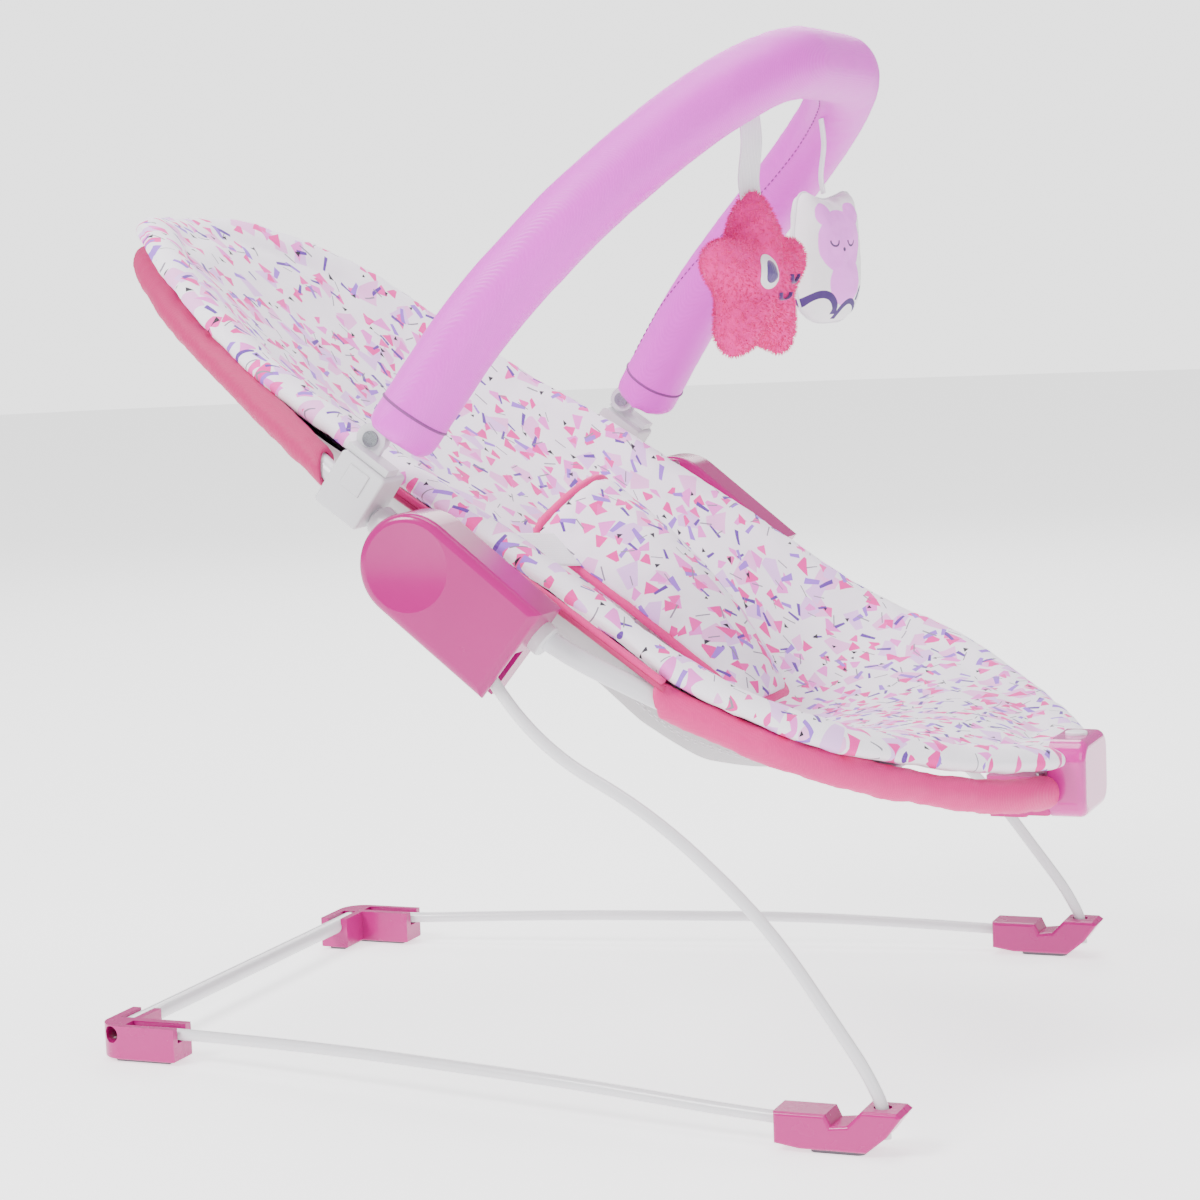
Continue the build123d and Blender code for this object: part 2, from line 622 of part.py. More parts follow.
with BuildPart() as bracket_button:
    add(bracket_block(
        -LATCH_HALF, LATCH_HALF, LATCH_N - LATCH_HALF, LATCH_N + LATCH_HALF,
        TONGUE_Y + TONGUE_HALF_Y + 0.3 + LATCH_TRAVEL, BRACKET_OUTER_Y + 0.8))
    fillet(bracket_button.faces().sort_by(Axis.Y)[0].edges(), 0.8)
keep_pair(bracket_button.part, "bracket_button")

# ---------------------------------------------------------------- toy bar
EAR_INNER_Y = 191.4
EAR_OUTER_Y = 195.4
TAB_INNER_Y = 186.4
TAB_OUTER_Y = 191.0
EAR_R = 9.0
RIVET_R = 2.6
RIVET_HEAD_R = 4.6
RIVET_HEAD_HEIGHT = 1.6
RIVET_AT = bracket_point(BAR_PIVOT_U, BAR_PIVOT_N, 0.0)


def rivet_plane(y):
    """Right-hand sketch plane square to the toy bar's hinge, looking outwards."""
    return Plane(origin=(RIVET_AT[0], -y, RIVET_AT[2]), x_dir=(1, 0, 0), z_dir=(0, -1, 0))


with BuildPart() as bar_end:
    add(bracket_block(
        -SOCKET_HALF + 0.1, SOCKET_HALF - 0.1, SOCKET_FLOOR + 0.3, BRACKET_HIGH + 0.3,
        TONGUE_Y - TONGUE_HALF_Y, TONGUE_Y + TONGUE_HALF_Y))
    add(bracket_block(
        -BRACKET_HALF_LENGTH, BRACKET_HALF_LENGTH - 2.0, BRACKET_HIGH + 0.3, BRACKET_HIGH + 4.5,
        EAR_INNER_Y, BRACKET_OUTER_Y - 3.0))
    with BuildSketch(rivet_plane(EAR_INNER_Y)) as ear:
        Circle(EAR_R)
    extrude(amount=EAR_OUTER_Y - EAR_INNER_Y)
    add(bracket_block(
        BAR_PIVOT_U - 7.0, BAR_PIVOT_U + 9.0, BRACKET_HIGH + 4.0, BAR_PIVOT_N, EAR_INNER_Y, EAR_OUTER_Y))
    with BuildSketch(rivet_plane(EAR_INNER_Y - 1.0)):
        Circle(RIVET_R)
    extrude(amount=10.0, mode=Mode.SUBTRACT)
keep_pair(bar_end.part, "bar_end")

with BuildPart() as bar_rivet:
    with BuildSketch(rivet_plane(TAB_INNER_Y - 0.2)):
        Circle(RIVET_R)
    extrude(amount=EAR_OUTER_Y - TAB_INNER_Y + 0.4)
    with BuildSketch(rivet_plane(TAB_INNER_Y - 0.2 - RIVET_HEAD_HEIGHT)):
        Circle(RIVET_HEAD_R)
    extrude(amount=RIVET_HEAD_HEIGHT)
    with BuildSketch(rivet_plane(EAR_OUTER_Y)):
        Circle(RIVET_HEAD_R)
    extrude(amount=RIVET_HEAD_HEIGHT)
keep_pair(bar_rivet.part, "bar_rivet")

bar_points = both_sides(BAR_ROUTE)
bar_core_rod = round_tube(bar_points, BAR_CORE_R)
BAR_START = Vector(*BAR_ROUTE[0])
BAR_DIRECTION = (Vector(*BAR_ROUTE[1]) - BAR_START).normalized()
with BuildPart() as bar_tab:
    with BuildSketch(rivet_plane(TAB_INNER_Y)):
        Circle(8.0)
    extrude(amount=TAB_OUTER_Y - TAB_INNER_Y)
    with BuildSketch(Plane(
            origin=(RIVET_AT[0], -TAB_INNER_Y, RIVET_AT[2]),
            x_dir=(BAR_START.X + 6.0 - RIVET_AT[0], 0, BAR_START.Z + 7.0 - RIVET_AT[2]),
            z_dir=(0, -1, 0))):
        with Locations((11.0, 0)):
            Rectangle(22.0, 12.0)
    extrude(amount=TAB_OUTER_Y - TAB_INNER_Y)
    with BuildSketch(rivet_plane(TAB_INNER_Y - 1.0)):
        Circle(RIVET_R + RUNNING_FIT)
    extrude(amount=10.0, mode=Mode.SUBTRACT)
with BuildPart() as toy_bar_core:
    add(bar_core_rod)
    add(bar_tab.part)
    add(mirror(bar_tab.part, about=Plane.XZ))
keep(toy_bar_core.part, "toy_bar_core")

with BuildPart() as toy_bar_sleeve:
    add(round_tube(bar_points, BAR_SLEEVE_R))
    add(toy_bar_core.part, mode=Mode.SUBTRACT)
keep(toy_bar_sleeve.part, "toy_bar_sleeve")

# ---------------------------------------------------------------- hanging toys
STRAP_TOP_Z = 543.5
TOY_TOP_Z = 508.0
RIBBON_THICKNESS = 1.2


def ribbon(x, y, width, direction):
    """Flat ribbon that hangs from the toy bar down to a toy."""
    with BuildPart() as strip:
        with BuildSketch(Plane(origin=(x, y, TOY_TOP_Z + 0.5), x_dir=(direction[0], direction[1], 0), z_dir=(0, 0, 1))):
            RectangleRounded(width, RIBBON_THICKNESS, 0.4)
        extrude(amount=STRAP_TOP_Z - TOY_TOP_Z - 0.5)
    return strip.part


STAR_AT = (129.0, -85.0)
STAR_YAW = -13.0
STAR_R = 52.0
STAR_WAIST_R = 31.0
STAR_HALF_DEPTH = 16.0
BEAR_AT = (119.0, 80.0)
BEAR_YAW = -22.0
BEAR_HALF_DEPTH = 13.0
RIBBON_ALONG_BAR = (0.48, 0.87)

keep(ribbon(STAR_AT[0], STAR_AT[1], 16.0, RIBBON_ALONG_BAR), "star_strap")
keep(ribbon(BEAR_AT[0], BEAR_AT[1], 12.0, (RIBBON_ALONG_BAR[0], -RIBBON_ALONG_BAR[1])), "bear_strap")


def toy_plane(at, yaw, z):
    """Upright sketch plane that faces the foot end, turned by a yaw angle."""
    facing = (cos(radians(yaw)), sin(radians(yaw)), 0)
    return Plane(origin=(at[0], at[1], z), x_dir=(-facing[1], facing[0], 0), z_dir=facing)


star_points = []
for corner in range(10):
    angle = pi / 2 + corner * pi / 5
    reach = STAR_R if corner % 2 == 0 else STAR_WAIST_R
    star_points.append((reach * cos(angle), reach * sin(angle)))
with BuildPart() as star_toy:
    with BuildSketch(toy_plane(STAR_AT, STAR_YAW, TOY_TOP_Z - STAR_R)) as star_face:
        with BuildLine():
            Polyline(*star_points, close=True)
        make_face()
        fillet(star_face.vertices(), 7.0)
    extrude(amount=STAR_HALF_DEPTH, both=True)
    fillet(star_toy.faces().group_by(Face.area)[-1].edges(), 6.0)
keep(star_toy.part, "star_toy")

with BuildPart() as bear_toy:
    with BuildSketch(toy_plane(BEAR_AT, BEAR_YAW, TOY_TOP_Z)) as bear_face:
        with BuildLine():
            Polyline((-24.0, 0), (24.0, 0), (31.0, -52.0), (27.0, -82.0), (-27.0, -82.0), (-31.0, -52.0), close=True)
        make_face()
        fillet(bear_face.vertices(), 10.0)
    extrude(amount=BEAR_HALF_DEPTH, both=True)
    fillet(bear_toy.faces().group_by(Face.area)[-1].edges(), 5.0)
keep(bear_toy.part, "bear_toy")

# ---------------------------------------------------------------- vibration unit
BATTERY_R = 7.1
BATTERY_LENGTH = 50.0
BATTERY_X = 254.0
BATTERY_Z = 154.0
REAR_SHELL_X = 242.0
REAR_SHELL_TOP = 166.5
DOOR_THICKNESS = 1.8
MOTOR_R = 6.2
MOTOR_X = 289.2
MOTOR_Z = 173.5
SHAFT_R = 1.0
BUTTON_R = 6.4
BUTTON_TRAVEL = 1.5
BUTTON_X = 289.0

with BuildPart() as unit_front_shell:
    with BuildSketch(Plane.YZ.offset(UNIT_X)):
        with Locations((0, (UNIT_TOP + UNIT_BOTTOM) / 2)):
            RectangleRounded(2 * UNIT_HALF, UNIT_TOP - UNIT_BOTTOM, 12.0)
    extrude(amount=UNIT_FRONT_X - UNIT_X)
    fillet(unit_front_shell.faces().sort_by(Axis.X)[-1].edges(), 5.0)
    with BuildSketch(Plane.YZ.offset(UNIT_X + UNIT_WALL)):
        with Locations((0, (UNIT_TOP + UNIT_BOTTOM) / 2)):
            RectangleRounded(
                2 * (UNIT_HALF - UNIT_WALL), UNIT_TOP - UNIT_BOTTOM - 2 * UNIT_WALL, 12.0 - UNIT_WALL)
    extrude(amount=UNIT_FRONT_X - UNIT_X - 2 * UNIT_WALL, mode=Mode.SUBTRACT)
    add(seat_hoop_bar, mode=Mode.SUBTRACT)
    with Locations((BUTTON_X, 0, UNIT_TOP)):
        Cylinder(BUTTON_R + 0.08, 12.0, mode=Mode.SUBTRACT)
keep(unit_front_shell.part, "unit_front_shell")

with BuildPart() as unit_rear_shell:
    with Locations(((REAR_SHELL_X + UNIT_X) / 2, 0, (UNIT_BOTTOM + DOOR_THICKNESS + REAR_SHELL_TOP) / 2)):
        Box(UNIT_X - REAR_SHELL_X, 2 * (UNIT_HALF - 1.0), REAR_SHELL_TOP - UNIT_BOTTOM - DOOR_THICKNESS)
    fillet(unit_rear_shell.edges().filter_by(Axis.Z), 2.5)
    with Locations((BATTERY_X, 0, BATTERY_Z)):
        Cylinder(BATTERY_R + 0.05, BATTERY_LENGTH + 2.0, rotation=(90, 0, 0), mode=Mode.SUBTRACT)
    with Locations((BATTERY_X, 0, UNIT_BOTTOM + 3.0)):
        Box(2 * BATTERY_R - 1.0, BATTERY_LENGTH + 2.0, 12.0, mode=Mode.SUBTRACT)
    add(seat_hoop_bar, mode=Mode.SUBTRACT)
keep(unit_rear_shell.part, "unit_rear_shell")

with BuildPart() as battery_cell:
    with Locations((BATTERY_X, -0.6, BATTERY_Z)):
        Cylinder(BATTERY_R, BATTERY_LENGTH - 1.2, rotation=(90, 0, 0))
    with Locations((BATTERY_X, (BATTERY_LENGTH - 1.2) / 2, BATTERY_Z)):
        Cylinder(2.7, 1.2, rotation=(90, 0, 0))
keep(battery_cell.part, "battery_cell")

with BuildPart() as battery_door:
    with Locations((BATTERY_X, 0, UNIT_BOTTOM + DOOR_THICKNESS / 2)):
        Box(22.0, BATTERY_LENGTH + 4.0, DOOR_THICKNESS)
    fillet(battery_door.edges().filter_by(Axis.Z), 2.5)
keep(battery_door.part, "battery_door")

MOTOR_START_Y = -24.0
MOTOR_LENGTH = 25.0
SHAFT_END_Y = 12.0
with BuildPart() as vibration_motor:
    with BuildSketch(Plane(origin=(MOTOR_X, MOTOR_START_Y, MOTOR_Z), z_dir=(0, 1, 0))):
        Circle(MOTOR_R)
    extrude(amount=MOTOR_LENGTH)
    with BuildSketch(Plane(origin=(MOTOR_X, MOTOR_START_Y, MOTOR_Z), z_dir=(0, 1, 0))):
        Circle(SHAFT_R)
    extrude(amount=SHAFT_END_Y - MOTOR_START_Y)
keep(vibration_motor.part, "vibration_motor")

with BuildPart() as motor_weight:
    with BuildSketch(Plane(origin=(MOTOR_X, 5.0, MOTOR_Z), x_dir=(1, 0, 0), z_dir=(0, 1, 0))):
        Circle(5.6)
        with Locations((0, -4.6)):
            Rectangle(12.0, 5.0, mode=Mode.SUBTRACT)
        Circle(SHAFT_R + 0.03, mode=Mode.SUBTRACT)
    extrude(amount=5.0)
keep(motor_weight.part, "motor_weight")

with BuildPart() as unit_button:
    with BuildSketch(Plane.XY.offset(UNIT_TOP - 1.0)):
        with Locations((BUTTON_X, 0)):
            Circle(BUTTON_R)
    extrude(amount=3.0)
    fillet(unit_button.faces().sort_by(Axis.Z)[-1].edges(), 0.8)
    with BuildSketch(Plane.XY.offset(UNIT_TOP - UNIT_WALL - 1.2)):
        with Locations((BUTTON_X, 0)):
            Circle(BUTTON_R + 0.9)
    extrude(amount=1.2)
    with BuildSketch(Plane.XY.offset(UNIT_TOP - UNIT_WALL)):
        with Locations((BUTTON_X, 0)):
            Circle(BUTTON_R)
    extrude(amount=1.2)
keep(unit_button.part, "unit_button")

with BuildPart() as unit_screws:
    for side in (-1, 1):
        with Locations((273.0, side * 25.0, REAR_SHELL_TOP + 0.8)):
            Cylinder(2.6, 1.6)
keep(unit_screws.part, "unit_screws")
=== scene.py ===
import json
import logging
import math
from dataclasses import dataclass, field
from enum import Enum
from typing import Callable, Iterable, Optional, Sequence

import bmesh
import bpy
import numpy as np
from mathutils import Matrix, Vector, noise
from mathutils.bvhtree import BVHTree
from mathutils.kdtree import KDTree

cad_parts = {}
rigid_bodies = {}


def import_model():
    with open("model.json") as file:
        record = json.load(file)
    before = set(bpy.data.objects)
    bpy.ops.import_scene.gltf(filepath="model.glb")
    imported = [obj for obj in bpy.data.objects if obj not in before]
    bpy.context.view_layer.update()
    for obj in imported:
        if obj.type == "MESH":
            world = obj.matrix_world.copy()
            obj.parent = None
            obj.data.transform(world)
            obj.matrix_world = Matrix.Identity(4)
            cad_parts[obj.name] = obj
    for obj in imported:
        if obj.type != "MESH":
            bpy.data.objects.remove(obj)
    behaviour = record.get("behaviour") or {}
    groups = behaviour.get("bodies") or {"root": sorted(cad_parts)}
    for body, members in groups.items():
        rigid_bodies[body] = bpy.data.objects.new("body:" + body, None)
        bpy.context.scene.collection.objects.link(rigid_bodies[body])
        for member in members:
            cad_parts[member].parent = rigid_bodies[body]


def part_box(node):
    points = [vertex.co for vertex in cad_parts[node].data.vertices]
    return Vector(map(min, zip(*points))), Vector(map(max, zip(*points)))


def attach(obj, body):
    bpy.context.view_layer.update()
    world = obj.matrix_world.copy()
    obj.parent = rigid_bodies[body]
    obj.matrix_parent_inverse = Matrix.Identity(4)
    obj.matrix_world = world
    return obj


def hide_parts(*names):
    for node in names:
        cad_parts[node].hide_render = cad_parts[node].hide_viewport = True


log = logging.getLogger("bouncer_seat")
Colour = tuple[float, float, float]
Point = tuple[float, float, float]


def srgb(code: str) -> Colour:
    """Linear colour of a six-digit screen colour.

    Args:
        code: red, green and blue as six hexadecimal digits.

    Returns:
        The colour as three linear numbers from 0 to 1.
    """
    parts = [int(code[i:i + 2], 16) / 255 for i in (0, 2, 4)]
    return tuple(v / 12.92 if v <= 0.04045 else ((v + 0.055) / 1.055) ** 2.4 for v in parts)


# ---------------------------------------------------------------- finishes
class Shading:
    """A material's node tree while it is being wired up."""

    def __init__(self, name: str) -> None:
        """Start a material with its usual shader.

        Args:
            name: the material's name.
        """
        self.material = bpy.data.materials.new("finish_" + name)
        self.material.use_nodes = True
        self.nodes = self.material.node_tree.nodes
        self.links = self.material.node_tree.links
        self.shader = self.nodes["Principled BSDF"]

    def add(self, kind: str, inputs: Optional[dict] = None, **settings) -> bpy.types.Node:
        """Add one node, set its fields and wire or fill its sockets.

        Args:
            kind: the node's type.
            inputs: values or sockets by input name or number.
            settings: the node's own fields.

        Returns:
            The new node.
        """
        node = self.nodes.new(kind)
        for key, value in settings.items():
            setattr(node, key, value)
        for key, value in (inputs or {}).items():
            self.feed(node.inputs[key], value)
        return node

    def feed(self, socket: bpy.types.NodeSocket, value) -> None:
        """Wire a socket to another socket, or set it to a value."""
        if isinstance(value, bpy.types.NodeSocket):
            self.links.new(value, socket)
        else:
            socket.default_value = value

    def math(self, operation: str, a, b=0.0, c=0.0, clamp: bool = False) -> bpy.types.NodeSocket:
        """Result of one math node on sockets or numbers."""
        return self.add("ShaderNodeMath", {0: a, 1: b, 2: c}, operation=operation, use_clamp=clamp).outputs[0]

    def place(self) -> bpy.types.NodeSocket:
        """The piece's own place, in metres, in the shared frame."""
        return self.add("ShaderNodeTexCoord").outputs["Object"]

    def cloth_map(self) -> bpy.types.NodeSocket:
        """The place on the flat cloth, in metres, from the piece's map."""
        return self.add("ShaderNodeUVMap", uv_map="Cloth").outputs["UV"]

    def grain(self, where, scale: float, detail: float = 3.0) -> bpy.types.NodeSocket:
        """Smooth noise from 0 to 1."""
        return self.add("ShaderNodeTexNoise", {"Vector": where, "Scale": scale, "Detail": detail}).outputs[0]

    def blend(self, share, first, second) -> bpy.types.NodeSocket:
        """Colour between two, by a share from 0 to 1.

        Args:
            share: socket or number, 0 for the first colour.
            first: socket or linear colour.
            second: socket or linear colour.

        Returns:
            The mixed colour's socket.
        """
        node = self.add("ShaderNodeMix", {0: share}, data_type="RGBA")
        for socket, value in ((node.inputs[6], first), (node.inputs[7], second)):
            self.feed(socket, value if isinstance(value, bpy.types.NodeSocket) else (*value, 1.0))
        return node.outputs[2]

    def relief(self, height, strength: float, distance: float, under=None) -> bpy.types.NodeSocket:
        """Bump from a height, on top of an earlier bump."""
        inputs = {"Height": height, "Strength": strength, "Distance": distance}
        if under is not None:
            inputs["Normal"] = under
        return self.add("ShaderNodeBump", inputs).outputs[0]

    def weave(self, where, pitch: float) -> bpy.types.NodeSocket:
        """Height of a plain weave: two crossing rows of threads."""
        rows = []
        for axis in ("X", "Y"):
            wave = self.add("ShaderNodeTexWave", {"Vector": where, "Scale": 0.314 / pitch, "Distortion": 0.6,
                                                  "Detail": 1.0}, bands_direction=axis)
            rows.append(wave.outputs["Fac"])
        return self.math("MULTIPLY", rows[0], rows[1])

    def finish(self, colour, roughness, normal=None) -> bpy.types.Material:
        """Wire colour, roughness and bump to the shader."""
        self.feed(self.shader.inputs["Base Color"],
                  colour if isinstance(colour, bpy.types.NodeSocket) else (*colour, 1.0))
        self.feed(self.shader.inputs["Roughness"], roughness)
        if normal is not None:
            self.feed(self.shader.inputs["Normal"], normal)
        return self.material


@dataclass(frozen=True)
class MouldedPlastic:
    """Injection-moulded plastic: near even colour, fine orange peel, uneven gloss."""

    name: str
    colour: Colour
    roughness: float = 0.25
    coat: float = 0.3
    clear: float = 0.0
    texture: float = 0.04
    shine: float = 0.35

    def build(self) -> bpy.types.Material:
        """Make the material."""
        s = Shading(self.name)
        where = s.place()
        cloud = s.grain(where, 22.0, 2.0)
        darker = tuple(0.86 * c for c in self.colour)
        peel = s.grain(where, 900.0, 2.0)
        rough = s.math("MULTIPLY_ADD", s.grain(where, 60.0, 4.0), 0.14, self.roughness - 0.07)
        s.shader.inputs["Coat Weight"].default_value = self.coat
        s.shader.inputs["Coat Roughness"].default_value = 0.12
        s.shader.inputs["Specular IOR Level"].default_value = self.shine
        s.shader.inputs["Transmission Weight"].default_value = self.clear
        return s.finish(s.blend(cloud, darker, self.colour), rough, s.relief(peel, self.texture, 0.0004))


@dataclass(frozen=True)
class CoatedMetal:
    """Steel, painted or bare: faint orange peel, a little uneven gloss."""

    name: str
    colour: Colour
    roughness: float = 0.35
    metallic: float = 0.0

    def build(self) -> bpy.types.Material:
        """Make the material."""
        s = Shading(self.name)
        where = s.place()
        s.shader.inputs["Metallic"].default_value = self.metallic
        s.shader.inputs["Coat Weight"].default_value = 0.0 if self.metallic else 0.35
        rough = s.math("MULTIPLY_ADD", s.grain(where, 80.0, 4.0), 0.18, self.roughness - 0.09)
        shade = s.blend(s.grain(where, 14.0), tuple(0.9 * c for c in self.colour), self.colour)
        return s.finish(shade, rough, s.relief(s.grain(where, 500.0, 2.0), 0.08, 0.0005))


@dataclass(frozen=True)
class WovenCloth:
    """Plain woven cloth with thread-to-thread colour change, sheen and soft creases."""

    name: str
    colour: Colour
    pitch: float = 0.0009
    sheen: float = 0.08
    roughness: float = 0.75
    crease: float = 0.12
    mapped: bool = False

    def build(self) -> bpy.types.Material:
        """Make the material."""
        s = Shading(self.name)
        where = s.place()
        weave = s.weave(s.cloth_map() if self.mapped else where, self.pitch)
        slub = s.grain(where, 700.0, 3.0)
        shade = s.blend(s.math("MULTIPLY", weave, 0.6), tuple(0.82 * c for c in self.colour), self.colour)
        shade = s.blend(s.math("MULTIPLY", slub, 0.25), shade,
                        tuple(min(1.0, 1.12 * c + 0.01) for c in self.colour))
        s.shader.inputs["Sheen Weight"].default_value = self.sheen
        s.shader.inputs["Sheen Roughness"].default_value = 0.45
        folds = s.relief(s.grain(where, 38.0, 3.0), self.crease, 0.006)
        return s.finish(shade, self.roughness, s.relief(weave, 0.35, 0.0004, folds))


@dataclass(frozen=True)
class Chip:
    """One family of printed chips: size, colour and how many cells hold one."""

    colour: Colour
    pitch: float
    long: float
    short: float
    share: float
    taper: float = 0.0
    lean: float = 0.0


@dataclass(frozen=True)
class ChipPrint:
    """Cotton printed with scattered, angular chips like a stone floor."""

    name: str
    ground: Colour
    chips: tuple[Chip, ...]

    def chip_mask(self, s: Shading, where, chip: Chip, number: int) -> bpy.types.NodeSocket:
        """Where one family of chips is printed.

        Args:
            s: the material under construction.
            where: the place on the flat cloth.
            chip: the family's sizes.
            number: the family's number, which shifts its cells.

        Returns:
            A socket that is 1 on a chip and 0 elsewhere.
        """
        moved = s.add("ShaderNodeVectorMath",
                      {0: where, 1: (0.137 * number + 3.1, 0.219 * number + 2.3, 0.0)},
                      operation="ADD").outputs[0]
        cells = s.add("ShaderNodeTexVoronoi",
                      {"Vector": moved, "Scale": 1.0 / chip.pitch, "Randomness": 0.85},
                      voronoi_dimensions="2D")
        lot = s.add("ShaderNodeSeparateColor", {0: cells.outputs["Color"]})
        local = s.add("ShaderNodeVectorMath", {0: moved, 1: cells.outputs["Position"]}, operation="SUBTRACT")
        turn = s.math("MULTIPLY", lot.outputs[0], 6.283)
        turned = s.add("ShaderNodeVectorRotate", {"Vector": local.outputs[0], "Angle": turn},
                       rotation_type="Z_AXIS").outputs[0]
        xyz = s.add("ShaderNodeSeparateXYZ", {0: turned})
        x, y = xyz.outputs[0], xyz.outputs[1]
        slant = s.math("MULTIPLY_ADD", lot.outputs[2], 2.0 * chip.lean, -chip.lean)
        along = s.math("ABSOLUTE", s.math("MULTIPLY_ADD", y, slant, x))
        size = s.math("MULTIPLY_ADD", lot.outputs[2], 0.5, 0.7)
        inside = s.math("LESS_THAN", along, s.math("MULTIPLY", size, chip.long))
        width = s.math("MULTIPLY_ADD", x, chip.taper, chip.short)
        beside = s.math("LESS_THAN", s.math("ABSOLUTE", y), s.math("MULTIPLY", width, size))
        present = s.math("LESS_THAN", lot.outputs[1], chip.share)
        return s.math("MULTIPLY", s.math("MULTIPLY", inside, beside), present)

    def build(self) -> bpy.types.Material:
        """Make the material."""
        s = Shading(self.name)
        where = s.cloth_map()
        shade = s.blend(s.grain(where, 40.0), self.ground, tuple(min(1.0, 1.04 * c) for c in self.ground))
        for number, chip in enumerate(self.chips):
            shade = s.blend(self.chip_mask(s, where, chip, number), shade, chip.colour)
        weave = s.weave(where, 0.0008)
        shade = s.blend(s.math("MULTIPLY", weave, 0.12), shade, (0.55, 0.50, 0.60))
        s.shader.inputs["Sheen Weight"].default_value = 0.04
        folds = s.relief(s.grain(s.place(), 30.0, 3.0), 0.16, 0.006)
        return s.finish(shade, 0.78, s.relief(weave, 0.3, 0.0004, folds))


@dataclass(frozen=True)
class Plush:
    """Short-pile plush: mottled pile, strong sheen."""

    name: str
    colour: Colour
    deep: Colour

    def build(self) -> bpy.types.Material:
        """Make the material."""
        s = Shading(self.name)
        where = s.place()
        clump = s.grain(where, 160.0, 4.0)
        pile = s.grain(where, 1200.0, 2.0)
        shade = s.blend(clump, self.deep, self.colour)
        s.shader.inputs["Sheen Weight"].default_value = 0.12
        s.shader.inputs["Sheen Roughness"].default_value = 0.35
        return s.finish(shade, 0.9, s.relief(pile, 0.5, 0.0012, s.relief(clump, 0.4, 0.003)))


@dataclass(frozen=True)
class SleepyBearPrint:
    """Pale cloth printed with a plain sleeping lilac bear cub and dark swirls."""

    name: str
    ground: Colour
    cub: Colour
    line: Colour
    swirl: Colour

    def disc(self, s: Shading, u, v, centre: tuple[float, float], radius: float) -> bpy.types.NodeSocket:
        """1 inside a circle on the cloth, 0 outside."""
        return s.math("LESS_THAN", self.reach(s, u, v, centre), radius)

    def reach(self, s: Shading, u, v, centre: tuple[float, float]) -> bpy.types.NodeSocket:
        """Distance on the cloth from a centre."""
        du = s.math("SUBTRACT", u, centre[0])
        dv = s.math("SUBTRACT", v, centre[1])
        return s.math("SQRT", s.math("ADD", s.math("MULTIPLY", du, du), s.math("MULTIPLY", dv, dv)))

    def arc(self, s: Shading, u, v, centre: tuple[float, float], radius: float, pen: float,
            lower: bool = True) -> bpy.types.NodeSocket:
        """1 on a half circle drawn with a pen of the given width."""
        off = s.math("ABSOLUTE", s.math("SUBTRACT", self.reach(s, u, v, centre), radius))
        half = s.math("LESS_THAN" if lower else "GREATER_THAN", v, centre[1])
        return s.math("MULTIPLY", s.math("LESS_THAN", off, pen), half)

    def build(self) -> bpy.types.Material:
        """Make the material."""
        s = Shading(self.name)
        where = s.cloth_map()
        xyz = s.add("ShaderNodeSeparateXYZ", {0: where})
        u, v = xyz.outputs[0], xyz.outputs[1]
        shade = s.blend(s.grain(where, 60.0), self.ground, tuple(0.95 * c for c in self.ground))
        for centre, radius in (((0.0, 0.010), 0.0195), ((-0.013, 0.027), 0.0070), ((0.013, 0.027), 0.0070),
                               ((0.004, -0.014), 0.0150)):
            shade = s.blend(self.disc(s, u, v, centre, radius), shade, self.cub)
        for centre in ((-0.0075, 0.011), (0.0075, 0.011)):
            shade = s.blend(self.arc(s, u, v, centre, 0.0034, 0.0006), shade, self.line)
        shade = s.blend(self.disc(s, u, v, (0.0, 0.0055), 0.0013), shade, self.line)
        for centre, radius, pen in (((-0.016, -0.034), 0.0125, 0.0024), ((0.010, -0.037), 0.0105, 0.0018),
                                    ((0.026, -0.026), 0.0080, 0.0014)):
            shade = s.blend(self.arc(s, u, v, centre, radius, pen, False), shade, self.swirl)
        weave = s.weave(where, 0.0007)
        s.shader.inputs["Sheen Weight"].default_value = 0.05
        folds = s.relief(s.grain(s.place(), 60.0, 3.0), 0.2, 0.004)
        return s.finish(shade, 0.7, s.relief(weave, 0.3, 0.0003, folds))


